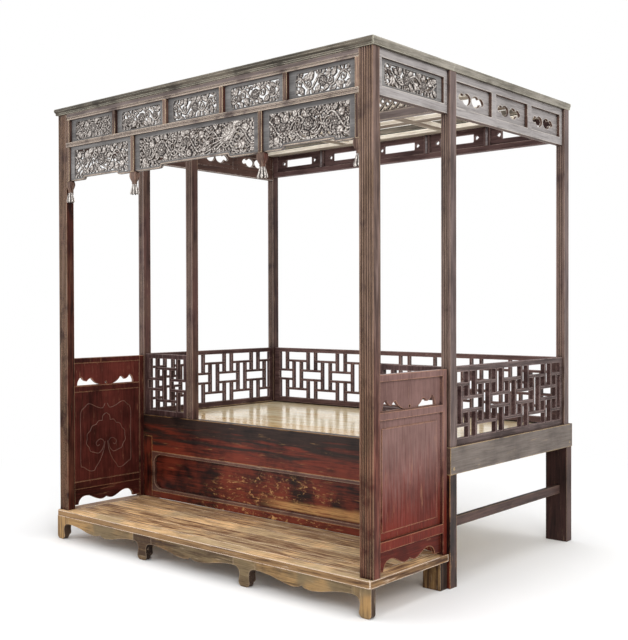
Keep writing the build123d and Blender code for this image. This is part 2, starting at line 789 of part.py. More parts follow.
def quirk(front, level):
    """What a half-round groove takes out of a frieze rail's front face."""
    return Pos(0, front, level) * Rot(0, 90, 0) * Cylinder(rail_quirk, 2 * front_post_inner)


def make_front_frieze():
    """Two rails between the front posts, the mullions and the carved panels."""
    y = (frieze_set_back, frieze_back)
    top_low = cornice_bottom - frieze_top_rail
    top = x_rail(front_post_inner, y, (top_low, cornice_bottom))
    put("frieze_top_rail", top - quirk(frieze_set_back, top_low + quirk_place))
    middle_z = (frieze_middle_bottom, frieze_middle_top)
    middle_y = (frieze_set_back - frieze_rail_proud, frieze_back)
    middle = block((-front_post_inner, front_post_inner), middle_y, middle_z)
    short_tenon = (-front_post_inner - tenon, front_post_inner + tenon)
    middle += block(short_tenon, (y[0] + tenon_shoulder, y[1] - tenon_shoulder),
                    (middle_z[0] + tenon_shoulder / 2, middle_z[1] - tenon_shoulder / 2))
    middle -= quirk(middle_y[0], (middle_z[0] + middle_z[1]) / 2)
    put("frieze_middle_rail", middle)
    end = front_post_inner - frieze_end_stile
    # Evenly spaced mullions leave the same clear width for every upper panel.
    clear = (2 * end - (upper_panel_count - 1) * frieze_mullion) / upper_panel_count
    left = -end
    for number in range(upper_panel_count):
        right = left + clear
        shape = rect((left, right), (frieze_middle_top, top_low))
        field_x = (left + frieze_side_border, right - frieze_side_border)
        field_z = (frieze_middle_top + frieze_low_border, top_low - frieze_low_border)
        field = chamfered(field_x, field_z, frieze_corner_cut)
        put("frieze_upper_panels", carved_panel(shape, field, upper_panel_recess))
        if number < upper_panel_count - 1:
            put("frieze_upper_mullions", block((right, right + frieze_mullion), y, (frieze_middle_top, top_low)))
        left = right + frieze_mullion
    stile = block((end, front_post_inner), y, (frieze_middle_top, top_low))
    put("frieze_upper_mullions", stile, other_side(stile))


def make_hanging_frieze():
    """The lower row: hanging posts, the three large carved panels and the drop finials."""
    y = (frieze_set_back, frieze_back)
    end = front_post_inner - frieze_end_stile
    z = (frieze_low, frieze_middle_bottom)
    near = hanging_post_place - frieze_mullion / 2
    far = hanging_post_place + frieze_mullion / 2
    hanging = block((near, far), y, z)
    stile = block((end, front_post_inner), y, z)
    put("frieze_hanging_posts", hanging, other_side(hanging), stile, other_side(stile))
    for left, right, rise in ((-end, -far, side_arch), (-near, near, centre_arch), (far, end, side_arch)):
        put("frieze_lower_panels", lower_panel(left, right, rise))
    for place in (hanging_post_place, end + frieze_end_stile / 2):
        finial = drop_finial(place)
        finial &= block((-front_post_inner, front_post_inner), (0, front_post_depth), (0, frieze_low))
        put("frieze_finials", finial, other_side(finial))


def drop_finial(place):
    """A carved four-sided drop: a bud that tapers to a waist, over a flaring bell."""
    top = frieze_low
    tall = finial_height

    def outline(reach):
        right = Spline(
            (reach * 0.86, top),
            (reach, top - tall * 0.10),
            (reach * 0.84, top - tall * 0.30),
            (reach * 0.42, top - tall * 0.50),
            (reach * 0.60, top - tall * 0.66),
            (reach * 0.90, top - tall * 0.92),
            (reach * 0.76, top - tall),
        )
        left = mirror(right, about=Plane.YZ)
        lines = [Line((-reach * 0.76, top - tall), (reach * 0.76, top - tall))]
        lines.append(Line((-reach * 0.86, top), (reach * 0.86, top)))
        return make_face([right, left] + lines)

    half = finial_width / 2
    middle = (frieze_set_back + frieze_back) / 2
    wide = front_board(Pos(place, 0) * outline(half), middle - half, 2 * half)
    deep = side_board(Pos(middle, 0) * outline(finial_depth / 2), place + half, 2 * half)
    return wide & deep


# ------------------------------------------------------------------ side, rear and inner friezes
def cloud_pair(middle, level):
    """Two mirrored openings: clouds with a full side towards each other and a thin tip outward."""
    near = middle + cloud_gap / 2

    def at(along, up):
        return near + along * cloud_length, level + up * cloud_height

    outline = [
        Spline(at(0, -0.2), at(0, 0.15), at(0.18, 0.40), at(0.40, 0.44), at(0.56, 0.22)),
        Spline(at(0.56, 0.22), at(0.74, 0.36), at(0.92, 0.18), at(1, -0.1)),
        Spline(at(1, -0.1), at(0.84, -0.28), at(0.68, -0.16)),
        Spline(at(0.68, -0.16), at(0.52, -0.50), at(0.26, -0.56), at(0, -0.2)),
    ]
    cloud = make_face(outline)
    return [cloud, mirror(cloud, about=Plane((middle, 0, 0), z_dir=(1, 0, 0)))]


def side_bay(x, y, z, bays):
    """One length of side frieze between two posts: rails, stiles and boards."""
    mullion = side_frieze_mullion
    low_rail = (z[0], z[0] + side_frieze_rail)
    top_rail = (z[1] - frieze_top_rail, z[1])
    field = (low_rail[1], top_rail[0])
    solids = [y_rail(x, y, low_rail, frieze_tenon), y_rail(x, y, top_rail, frieze_tenon)]
    inner = (y[0] + side_frieze_stile, y[1] - side_frieze_stile)
    solids.append(block(x, (y[0], inner[0]), field))
    solids.append(block(x, (inner[1], y[1]), field))
    clear = (inner[1] - inner[0] - (bays - 1) * mullion) / bays
    outer = x[1] - (pierced_board_recess if bays > 1 else carved_board_recess)
    start = inner[0]
    for number in range(bays):
        span = (start, start + clear)
        board = rect(span, field)
        if bays > 1:    # the bed's boards are pierced, the alcove's single board is carved
            for opening in cloud_pair((span[0] + span[1]) / 2, (field[0] + field[1]) / 2):
                board -= opening
            solids.append(side_board(board, outer, panel_board_thickness))
        else:
            carved = side_board(board, outer, panel_board_thickness)
            sunk_y = (span[0] + frieze_side_border, span[1] - frieze_side_border)
            sunk_z = (field[0] + frieze_low_border, field[1] - frieze_low_border)
            sunk = chamfered(sunk_y, sunk_z, frieze_corner_cut)
            carved -= side_board(sunk, outer, frieze_field_sink)
            carved -= side_board(sunk, outer - panel_board_thickness + frieze_field_sink, frieze_field_sink)
            solids.append(carved)
        if number < bays - 1:
            solids.append(block(x, (span[1], span[1] + mullion), field))
        start = span[1] + mullion
    return solids


def make_side_friezes():
    """Side friezes: one carved panel over the alcove, three pierced boards over the bed."""
    z = (cornice_bottom - side_frieze_height, cornice_bottom)
    x = (post_inner, post_inner + frieze_thickness)
    alcove = side_bay(x, (front_post_depth, alcove_depth), z, 1)
    bed = side_bay(x, (bed_post_back, rear_post_front), z, side_bay_count)
    put_pair("side_frieze", *alcove, *bed)
    house_pair("front_post", "side_frieze")
    house_pair("bed_post_front", "side_frieze")
    house_pair("bed_post_rear", "side_frieze")


def pointed_hole(middle, level, side):
    """A round hole drawn out to a point on its left (side -1) or right (side 1)."""
    lean = math.acos(slot_hole / slot_hole_point)
    reach = slot_hole * math.cos(lean)
    half = slot_hole * math.sin(lean)
    point = (middle + side * slot_hole_point, level)
    ends = [(middle + side * reach, level + half), (middle + side * reach, level - half)]
    back = ThreePointArc(ends[0], (middle - side * slot_hole, level), ends[1])
    return make_face([back, Line(ends[1], point), Line(point, ends[0])])


def make_rear_frieze():
    """Five pierced bays between the rear posts."""
    z = (cornice_bottom - rear_frieze_height, cornice_bottom)
    y = (rear_post_front + frieze_step, rear_post_front + frieze_step + frieze_thickness)
    low_rail = (z[0], z[0] + rear_frieze_rail)
    top_rail = (z[1] - frieze_top_rail, z[1])
    field = (low_rail[1], top_rail[0])
    for rail_z in (low_rail, top_rail):
        put("rear_frieze", x_rail(post_inner, y, rail_z, frieze_tenon))
    clear = (2 * post_inner - (rear_bay_count + 1) * side_frieze_mullion) / rear_bay_count
    front = (y[0] + y[1] - panel_board_thickness) / 2
    level = (field[0] + field[1]) / 2
    slot_z = (level - slot_height / 2, level + slot_height / 2)
    put("rear_frieze", block((-post_inner, side_frieze_mullion - post_inner), y, field))
    start = side_frieze_mullion - post_inner
    for number in range(rear_bay_count):
        span = (start, start + clear)
        middle = (span[0] + span[1]) / 2
        board = rect(span, field)
        board -= soft_rect((middle - slot_length / 2, middle + slot_length / 2), slot_z, slot_hole / 2)
        for side in (-1, 1):
            board -= pointed_hole(middle + side * (slot_length / 2 + slot_hole_gap), level, side)
        put("rear_frieze", front_board(board, front, panel_board_thickness))
        start = span[1] + side_frieze_mullion
        put("rear_frieze", block((span[1], start), y, field))


def fret_opening():
    """One cell of the slanting fret, two pitches long: two stubs reach into it and make it an S."""
    long = 2 * fret_pitch - fret_bar
    wide = fret_pitch - fret_bar
    stub = Rectangle(fret_bar, fret_tick * wide, align=(Align.CENTER, Align.MIN))
    cell = Rectangle(long, wide)
    cell -= Pos(-long / 6, -wide / 2) * stub
    return cell - Pos(long / 6, wide / 2) * Rot(0, 0, 180) * stub


def make_inner_frieze():
    """A slanting fret over a moulded rail, between the front bed posts."""
    z = (cornice_bottom - inner_frieze_height, cornice_bottom)
    y = (alcove_depth + frieze_step, inner_frieze_back + frieze_step)
    low_rail = (z[0], z[0] + inner_frieze_rail)
    put("inner_frieze", x_rail(post_inner, y, low_rail, frieze_tenon))
    grille = rect((-post_inner, post_inner), (low_rail[1], z[1]))
    low, high = low_rail[1] + fret_bar, z[1] - fret_bar
    reach = post_inner - side_frieze_stile
    window = rect((-reach, reach), (low, high))
    half_window = math.hypot(reach, (high - low) / 2)
    count = int(half_window / fret_pitch) + 1
    cells = []
    for row in range(-count, count + 1):
        for column in range(-count, count + 1):
            along, across = (column + row / 2) * 2 * fret_pitch, row * fret_pitch
            level = (along + across) / math.sqrt(2)
            place = (along - across) / math.sqrt(2)
            if abs(level) < (high - low) / 2 + fret_pitch and abs(place) < reach + fret_pitch:
                cells.append(Pos(place, level + (low + high) / 2) * Rot(0, 0, 45) * fret_opening())
    holes = window & Sketch(children=[hole for cell in cells for hole in cell.faces()])
    front = (y[0] + y[1] - panel_board_thickness) / 2
    put("inner_frieze", front_board(grille - holes, front, panel_board_thickness))


# ------------------------------------------------------------------ cornice and ceiling
def cornice_section(lip):
    """The cornice's section: u grows outward from the post face and v up, with a stepped hollow under the lip."""
    low, high = cornice_bottom, canopy_height
    step = (cornice_thickness - cornice_lip) / 2
    return face(
        (lip - cornice_width, low), (lip / 3, low), (lip / 3, low + step), (lip, high - cornice_lip),
        (lip, high - cornice_round), (lip - cornice_round, high), (lip - cornice_width, high),
    )


def make_cornice():
    """Four moulded members, mitred at the corners; each side is in two lengths that meet over a bed post."""
    side_x = post_outer + side_overhang
    front_y = -front_overhang
    back_y = rear_post_back + rear_overhang
    inner_x = side_x - cornice_width
    inner_front = front_y + cornice_width
    inner_back = back_y - cornice_width
    split = alcove_depth + bed_post_depth / 2

    def wedge(*corners):
        return Pos(0, 0, cornice_bottom) * extrude(face(*corners), cornice_thickness)

    facing_front = Plane((side_x, 0, 0), x_dir=(0, -1, 0), z_dir=(-1, 0, 0))
    front = facing_front * extrude(cornice_section(front_overhang), 2 * side_x)
    put("cornice_front", front & wedge(
        (-side_x, front_y), (side_x, front_y), (inner_x, inner_front), (-inner_x, inner_front)))
    facing_back = Plane((-side_x, rear_post_back, 0), x_dir=(0, 1, 0), z_dir=(1, 0, 0))
    rear = facing_back * extrude(cornice_section(rear_overhang), 2 * side_x)
    put("cornice_rear", rear & wedge(
        (-side_x, back_y), (side_x, back_y), (inner_x, inner_back), (-inner_x, inner_back)))
    facing_right = Plane((post_outer, front_y, 0), x_dir=(1, 0, 0), z_dir=(0, -1, 0))
    side = facing_right * extrude(cornice_section(side_overhang), back_y - front_y, dir=(0, 0, -1))
    first = side & wedge((side_x, front_y), (side_x, split), (inner_x, split), (inner_x, inner_front))
    second = side & wedge((side_x, split), (side_x, back_y), (inner_x, inner_back), (inner_x, split))
    put_pair("cornice", first, second)


def make_ceiling():
    """An open ceiling of plain ribs over the bed, let into the inner and rear friezes and the side friezes."""
    top = cornice_bottom - ceiling_drop
    z = (top - rib_thickness, top)
    reach = post_inner
    front = inner_frieze_back + frieze_step + rib_width / 2
    back = rear_post_front + frieze_step - rib_width / 2
    pitch = (back - front) / (rib_count - 1)
    for number in range(rib_count):
        middle = front + number * pitch
        put("ceiling_ribs", block((-reach, reach), (middle - rib_width / 2, middle + rib_width / 2), z))
    for number in range(rib_count - 1):
        y = (front + number * pitch + rib_width / 2, front + (number + 1) * pitch - rib_width / 2)
        for place in (-cross_rib_place, cross_rib_place):
            put("ceiling_ribs", block((place - rib_width / 2, place + rib_width / 2), y, z))


# ------------------------------------------------------------------ assembly
make_platform_frame()
make_platform_planks()
make_platform_feet()
make_platform_apron()
make_posts()
make_legs()
make_seat_rails()
make_stretchers()
make_seat()
make_skirt()
make_pegs()
make_railings()
make_side_panels()
make_front_frieze()
make_hanging_frieze()
make_side_friezes()
make_rear_frieze()
make_inner_frieze()
make_cornice()
make_ceiling()
for post_side in ("_left", "_right"):
    house("front_post" + post_side, "frieze_top_rail", "frieze_middle_rail")
    house("bed_post_front" + post_side, "inner_frieze")
    house("bed_post_rear" + post_side, "rear_frieze")


def near(first, second):
    """True where two solids' boxes meet, so that a mortise may be needed."""
    a, b = first.bounding_box(), second.bounding_box()
    spans = zip(tuple(a.min), tuple(a.max), tuple(b.min), tuple(b.max))
    return all(low_a < high_b and low_b < high_a for low_a, high_a, low_b, high_b in spans)


for host_name, guest_name in housings:
    cut = []
    for host in parts[host_name]:
        for guest in parts[guest_name]:
            if near(host, guest):
                host = host - guest
        cut.append(host)
    parts[host_name] = cut

os.makedirs("parts", exist_ok=True)
for name, solids in parts.items():
    placed = [Pos(0, -origin_y, 0) * piece for solid in solids for piece in solid.solids()]
    export_step(Compound(placed, label=name), "parts/" + name + ".step")
print(len(parts), "nodes")
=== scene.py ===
import math
import random

import bmesh
import bpy
import numpy as np
from mathutils import Matrix, Vector


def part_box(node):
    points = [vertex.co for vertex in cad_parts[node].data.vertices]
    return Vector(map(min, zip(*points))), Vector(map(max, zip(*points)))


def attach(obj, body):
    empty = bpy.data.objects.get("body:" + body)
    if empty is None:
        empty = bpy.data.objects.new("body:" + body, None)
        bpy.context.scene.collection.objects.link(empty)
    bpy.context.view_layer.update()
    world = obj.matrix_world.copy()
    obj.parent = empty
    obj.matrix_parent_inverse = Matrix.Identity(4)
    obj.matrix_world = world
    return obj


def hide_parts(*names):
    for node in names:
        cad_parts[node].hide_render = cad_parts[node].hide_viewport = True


# An alcove canopy bed in old lacquered timber.  Metres, +Z up, -Y the front, +X the right-hand side.

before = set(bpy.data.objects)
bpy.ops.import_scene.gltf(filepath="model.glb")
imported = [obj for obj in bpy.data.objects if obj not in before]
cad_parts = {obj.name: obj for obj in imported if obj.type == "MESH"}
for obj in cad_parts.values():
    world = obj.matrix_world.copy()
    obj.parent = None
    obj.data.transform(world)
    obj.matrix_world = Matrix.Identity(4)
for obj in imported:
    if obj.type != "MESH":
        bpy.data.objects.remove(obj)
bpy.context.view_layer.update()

# ------------------------------------------------------------------ finishes
# Colours are linear.  A finish has its grain's "dark" and "light", and the colour of its "worn" edges.  The
# faded pair comes in by "high" as the height goes "from" one value "to" another.  The outer pair is for the
# faces that "turned" names, by "side"; it stands partly for weathering and partly for painted light and
# shade by the way a face turns.  Faces turned inward are darker by "inner", a painted shade.  Patches take
# "accent" by "accents".  "wear", "scuffs", "scratches" and "dirt_and_shade" are amounts, the last one of
# dust and painted shade in crevices; "edge" is the radius of the worn edges, "fine" the fineness of the
# grain,
# "cloudy" its unevenness and "contrast" half the band of its shades.
PLAIN = {
    "high": 0.0, "from": 0.5, "to": 1.4, "side": 0.0, "turned": "outward", "accent": (0.05, 0.03, 0.02),
    "accents": 0.0, "inner": 0.4, "wear": 0.6, "edge": 0.007, "scuffs": 0.3, "scratches": 0.0, "dirt_and_shade": 0.8,
    "rough": 0.55, "specular": 0.2, "coat": 0.0, "fine": 1.0, "cloudy": 0.45, "contrast": 0.19,
}
FINISHES = {
    "frieze": {
        "dark": (0.080, 0.058, 0.052), "light": (0.270, 0.214, 0.198), "worn": (0.70, 0.58, 0.46),
        "outer_dark": (0.11, 0.10, 0.09), "outer_light": (0.31, 0.29, 0.27), "side": 0.6, "wear": 1.0,
        "edge": 0.009, "contrast": 0.27,
    },
    "mullion": {
        "dark": (0.050, 0.024, 0.018), "light": (0.290, 0.185, 0.140), "worn": (0.70, 0.54, 0.36),
        "outer_dark": (0.03, 0.009, 0.007), "outer_light": (0.15, 0.045, 0.032), "side": 0.9, "inner": 0.6,
        "wear": 1.0, "fine": 1.5,
    },
    "cornice": {
        "dark": (0.036, 0.029, 0.021), "light": (0.215, 0.180, 0.140), "worn": (0.58, 0.55, 0.44),
        "outer_dark": (0.170, 0.152, 0.120), "outer_light": (0.440, 0.405, 0.350), "side": 0.85,
        "wear": 0.95,
    },
    "weathered": {
        "dark": (0.020, 0.009, 0.007), "light": (0.120, 0.066, 0.050), "worn": (0.70, 0.64, 0.57),
        "outer_dark": (0.175, 0.156, 0.150), "outer_light": (0.400, 0.370, 0.362), "side": 1.0,
        "inner": 0.5, "wear": 0.9, "fine": 1.4,
    },
    "panel": {
        "dark": (0.125, 0.119, 0.118), "light": (0.250, 0.240, 0.236), "worn": (0.42, 0.39, 0.36),
        "outer_dark": (0.17, 0.16, 0.16), "outer_light": (0.31, 0.30, 0.29), "side": 0.8, "wear": 0.4,
        "dirt_and_shade": 0.35, "rough": 0.7, "specular": 0.1,
    },
    "post": {
        "dark": (0.016, 0.005, 0.004), "light": (0.150, 0.043, 0.027), "worn": (0.50, 0.32, 0.19),
        "faded_dark": (0.074, 0.048, 0.040), "faded_light": (0.235, 0.166, 0.142), "high": 0.92,
        "outer_dark": (0.050, 0.013, 0.009), "outer_light": (0.225, 0.075, 0.054), "side": 0.9,
        "accent": (0.20, 0.13, 0.08), "accents": 0.2, "inner": 0.5, "rough": 0.45, "specular": 0.1,
        "fine": 1.3, "cloudy": 0.3, "contrast": 0.18,
    },
    "deep_post": {
        "dark": (0.026, 0.010, 0.009), "light": (0.150, 0.078, 0.066), "worn": (0.48, 0.34, 0.24),
        "faded_dark": (0.070, 0.047, 0.043), "faded_light": (0.170, 0.122, 0.112), "high": 0.6,
        "outer_dark": (0.074, 0.050, 0.046), "outer_light": (0.215, 0.158, 0.146), "side": 0.8,
        "accent": (0.18, 0.135, 0.09), "accents": 0.4, "inner": 0.6, "rough": 0.45, "fine": 1.3,
        "cloudy": 0.3, "contrast": 0.15,
    },
    "lacquer": {
        "dark": (0.009, 0.003, 0.003), "light": (0.190, 0.033, 0.017), "worn": (0.62, 0.34, 0.13),
        "faded_dark": (0.004, 0.003, 0.003), "faded_light": (0.034, 0.018, 0.014), "high": 1.0,
        "from": 0.45, "to": 0.56, "outer_dark": (0.016, 0.010, 0.009), "outer_light": (0.085, 0.053, 0.046),
        "side": 0.9, "wear": 0.85, "scratches": 1.0, "rough": 0.40, "cloudy": 0.85, "contrast": 0.17,
    },
    "bead": {
        "dark": (0.030, 0.010, 0.008), "light": (0.140, 0.058, 0.042), "worn": (0.66, 0.48, 0.32),
        "wear": 0.65, "scuffs": 0.35, "rough": 0.36, "specular": 0.35,
    },
    "carved_bead": {
        "dark": (0.040, 0.012, 0.009), "light": (0.170, 0.066, 0.046), "worn": (0.42, 0.24, 0.17),
        "inner": 0.0, "wear": 0.3, "scuffs": 0.5, "rough": 0.34, "specular": 0.4,
    },
    # The pale, near white worn edges of lit_bead are painted highlights on the rear frieze's mouldings.
    "lit_bead": {
        "dark": (0.060, 0.042, 0.044), "light": (0.260, 0.225, 0.235), "worn": (0.80, 0.76, 0.78),
        "inner": 0.0, "wear": 1.0, "edge": 0.012, "scuffs": 0.6, "rough": 0.32, "specular": 0.5,
    },
    "red": {
        "dark": (0.018, 0.005, 0.004), "light": (0.145, 0.032, 0.024), "worn": (0.54, 0.29, 0.16),
        "faded_dark": (0.135, 0.072, 0.062), "faded_light": (0.265, 0.155, 0.138), "high": 0.95,
        "from": 0.30, "to": 0.72, "outer_dark": (0.045, 0.008, 0.005), "outer_light": (0.190, 0.026, 0.015),
        "side": 1.0, "inner": 0.0, "wear": 0.8, "scratches": 0.15, "rough": 0.36, "specular": 0.08,
        "fine": 2.2, "cloudy": 0.75, "contrast": 0.32,
    },
    "rail": {
        "dark": (0.024, 0.012, 0.010), "light": (0.115, 0.066, 0.050), "worn": (0.64, 0.45, 0.22),
        "outer_dark": (0.095, 0.076, 0.064), "outer_light": (0.225, 0.190, 0.166), "side": 0.9,
        "wear": 0.85, "cloudy": 0.7, "contrast": 0.26,
    },
    "fret": {
        "dark": (0.030, 0.012, 0.011), "light": (0.125, 0.070, 0.066), "worn": (0.42, 0.30, 0.27),
        "outer_dark": (0.060, 0.040, 0.036), "outer_light": (0.200, 0.150, 0.140), "side": 0.8, "wear": 0.8,
    },
    # The legs' near black faces and paler outward sides: painted shade on the faces under the bed, painted
    # light on the sides.
    "leg": {
        "dark": (0.009, 0.004, 0.0035), "light": (0.046, 0.020, 0.017), "worn": (0.34, 0.24, 0.15),
        "outer_dark": (0.034, 0.020, 0.017), "outer_light": (0.130, 0.078, 0.066), "side": 0.8, "wear": 0.5,
    },
    "platform": {
        "dark": (0.120, 0.044, 0.019), "light": (0.860, 0.560, 0.285), "worn": (0.92, 0.76, 0.62),
        "outer_dark": (0.060, 0.026, 0.011), "outer_light": (0.29, 0.165, 0.070), "side": 0.95,
        "turned": "upright", "accent": (0.38, 0.32, 0.20), "accents": 0.6, "wear": 1.0, "scuffs": 0.6,
        "dirt_and_shade": 0.6, "fine": 2.3, "cloudy": 0.14, "contrast": 0.17,
    },
    "apron": {
        "dark": (0.050, 0.024, 0.011), "light": (0.420, 0.250, 0.100), "worn": (0.70, 0.54, 0.38),
        "outer_dark": (0.012, 0.006, 0.005), "outer_light": (0.060, 0.036, 0.026), "side": 0.95,
        "turned": "aside", "accent": (0.112, 0.102, 0.066), "accents": 0.7, "wear": 0.35, "fine": 1.7,
        "contrast": 0.16,
    },
    "seat": {
        "dark": (0.780, 0.500, 0.190), "light": (0.970, 0.860, 0.610), "worn": (0.94, 0.86, 0.70),
        "inner": 0.0, "wear": 0.2, "dirt_and_shade": 0.3, "rough": 0.20, "specular": 0.5, "coat": 0.5,
    },
    "raw": {
        "dark": (0.180, 0.130, 0.095), "light": (0.430, 0.375, 0.310), "worn": (0.90, 0.84, 0.74),
        "outer_dark": (0.50, 0.42, 0.32), "outer_light": (0.80, 0.73, 0.62), "side": 0.9,
        "turned": "upright", "inner": 0.0, "wear": 1.0, "edge": 0.012, "dirt_and_shade": 0.5, "rough": 0.8,
        "contrast": 0.18,
    },
}
GROOVE_SHADE = (0.030, 0.010, 0.008)      # painted shade in the bottoms of the posts' grooves
# multiplies the colour of faces turned inward: painted shade
INNER_SHADE = (0.42, 0.30, 0.30)

# The finish of a node, by the start of its name; the first match counts.
LOOKS = {
    "frieze_upper_panels": "panel", "frieze_lower_panels": "panel", "frieze_upper_mullions": "mullion",
    "frieze_hanging_posts": "mullion", "frieze_": "frieze", "cornice": "cornice",
    "side_frieze": "weathered", "inner_frieze": "frieze", "rear_frieze": "fret", "ceiling_ribs": "raw",
    "seat_boards": "seat", "seat_bearers": "raw", "platform_feet": "apron", "platform_apron": "apron",
    "platform_": "platform", "side_panel": "red", "skirt_bead": "bead", "skirt_": "lacquer",
    "leg_front": "lacquer", "seat_front_rail": "lacquer", "side_rail": "rail", "seat_rear_rail": "rail",
    "railing": "fret", "leg_rear": "leg", "side_stretchers": "leg", "joint_pegs": "rail",
    "front_post": "post", "": "deep_post",
}
# The finishes in each of the material slots.
SLOTS = {
    "weathered_wood": ("panel", "mullion", "frieze", "cornice", "weathered", "carving"),
    "dark_wood": ("fret", "rail", "leg", "post", "deep_post", "lit_bead"),
    "raw_wood": ("raw",),
    "golden_wood": ("seat", "apron", "platform"),
    "red_lacquer": ("red", "bead", "lacquer", "carved_bead"),
}


class Graph:
    """The node tree of a material or of the world, built with one call a node."""

    def __init__(self, owner):
        owner.use_nodes = True
        self.owner = owner
        self.tree = owner.node_tree
        self.tree.nodes.clear()

    def add(self, kind, settings=None, **inputs):
        """Adds a node.  Inputs are sockets to link from, or constants; an underscore stands for a blank."""
        made = self.tree.nodes.new("ShaderNode" + kind)
        for key, value in (settings or {}).items():
            setattr(made, key, value)
        for key, value in inputs.items():
            index = int(key[2:]) if key.startswith("at") else key.replace("_", " ")
            self.set(made.inputs[index], value)
        return made

    def set(self, socket, value):
        """Links the socket, or gives it a constant."""
        if isinstance(value, bpy.types.NodeSocket):
            self.tree.links.new(value, socket)
        elif isinstance(value, (tuple, list)) and len(value) == 3 and socket.type == "RGBA":
            socket.default_value = (*value, 1.0)
        else:
            socket.default_value = value

    def calc(self, operation, a, b=0.0):
        """One arithmetic step."""
        return self.add("Math", {"operation": operation}, at0=a, at1=b).outputs[0]

    def plus(self, a, b):
        """The sum."""
        return self.calc("ADD", a, b)

    def minus(self, a, b):
        """The difference."""
        return self.calc("SUBTRACT", a, b)

    def times(self, a, b):
        """The product."""
        return self.calc("MULTIPLY", a, b)

    def noise(self, vector, scale, detail=4.0, rough=0.55, distortion=0.0):
        """A noise value round 0.5."""
        return self.add("TexNoise", Vector=vector, Scale=scale, Detail=detail, Roughness=rough,
                        Distortion=distortion).outputs["Fac"]

    def stretch(self, vector, x, y, z):
        """The coordinates scaled by different amounts each way."""
        return self.add("Mapping", Vector=vector, Scale=(x, y, z)).outputs[0]

    def band(self, value, low, high):
        """Maps low..high to 0..1, clamped."""
        settings = {"interpolation_type": "SMOOTHSTEP"}
        return self.add("MapRange", settings, Value=value, From_Min=low, From_Max=high).outputs[0]

    def mix(self, amount, a, b, blend="MIX"):
        """Mixes two colours."""
        settings = {"data_type": "RGBA", "blend_type": blend}
        return self.add("Mix", settings, at0=amount, at6=a, at7=b).outputs[2]


def worn_edges(graph, radius):
    """0 on flat faces, up to 1 near edges."""
    rounded = graph.add("Bevel", {"samples": 6}, Radius=radius).outputs[0]
    flat = graph.add("NewGeometry").outputs["Normal"]
    agree = graph.add("VectorMath", {"operation": "DOT_PRODUCT"}, at0=rounded, at1=flat).outputs["Value"]
    return graph.band(graph.minus(1.0, agree), 0.01, 0.14)


def scratched(graph, grain, place):
    """Bare scratches and chips, most where heels strike the front of the bed, and its rubbed lower edge."""
    x, _, z = graph.add("SeparateXYZ", Vector=place).outputs
    chips = graph.band(graph.noise(graph.stretch(grain, 22.0, 46.0, 46.0), 1.0, 8.0, 0.80, 0.7), 0.55, 0.62)
    patch = graph.noise(graph.stretch(place, 2.6, 1.0, 7.0), 1.0, 3.0)
    low = graph.band(z, 0.46, 0.25)
    middle = graph.band(graph.calc("ABSOLUTE", graph.plus(x, 0.05)), 0.72, 0.05)
    where = graph.plus(graph.times(low, middle), graph.times(patch, 0.7))
    chips = graph.times(chips, graph.band(where, 0.52, 0.92))
    edge = graph.plus(z, graph.times(graph.minus(patch, 0.5), 0.10))
    rubbed = graph.times(graph.band(edge, 0.272, 0.236), graph.band(z, 0.205, 0.222))
    aside = graph.calc("ABSOLUTE", graph.minus(x, 0.42))
    rubbed = graph.times(rubbed, graph.band(aside, 0.56, 0.3))
    streaky = graph.noise(graph.stretch(grain, 3.0, 30.0, 60.0), 1.0, 5.0, 0.7)
    rubbed = graph.times(rubbed, graph.band(streaky, 0.34, 0.56))
    return graph.calc("MAXIMUM", chips, graph.times(rubbed, 0.85))


def grain_colour(graph, look, shade, figure, outward):
    """The timber's colour before wear and dirt: grain, faded above, outer pair outside, painted shade
    inward.
    """
    place = graph.add("TexCoord").outputs["Object"]
    height = graph.add("SeparateXYZ", Vector=place).outputs[2]
    inward = graph.band(outward, -0.4, -0.8)
    colour = graph.mix(shade, look["dark"], look["light"])
    if look["accents"]:
        tinted = graph.mix(shade, look["dark"], look["accent"])
        patches = graph.band(graph.noise(place, 3.5, 3.0), 0.42, 0.58)
        colour = graph.mix(graph.times(patches, look["accents"]), colour, tinted)
    if look["high"]:
        level = graph.plus(height, graph.times(graph.minus(figure, 0.5), 0.5))
        up = graph.times(graph.band(level, look["from"], look["to"]), look["high"])
        up = graph.times(up, graph.minus(1.0, inward))
    # The outer pair by facing: partly weathering, partly painted light and shade by the way a face turns.
    if look["side"]:
        outer = graph.mix(shade, look["outer_dark"], look["outer_light"])
        aside = graph.times(graph.band(outward, 0.4, 0.8), look["side"])
        colour = graph.mix(aside, colour, outer)
    if look["high"]:
        colour = graph.mix(up, colour, graph.mix(shade, look["faded_dark"], look["faded_light"]))
    # Painted shade on the faces turned inward, by "inner".
    if look["inner"]:
        colour = graph.mix(graph.times(inward, look["inner"]), colour, INNER_SHADE, "MULTIPLY")
    return colour


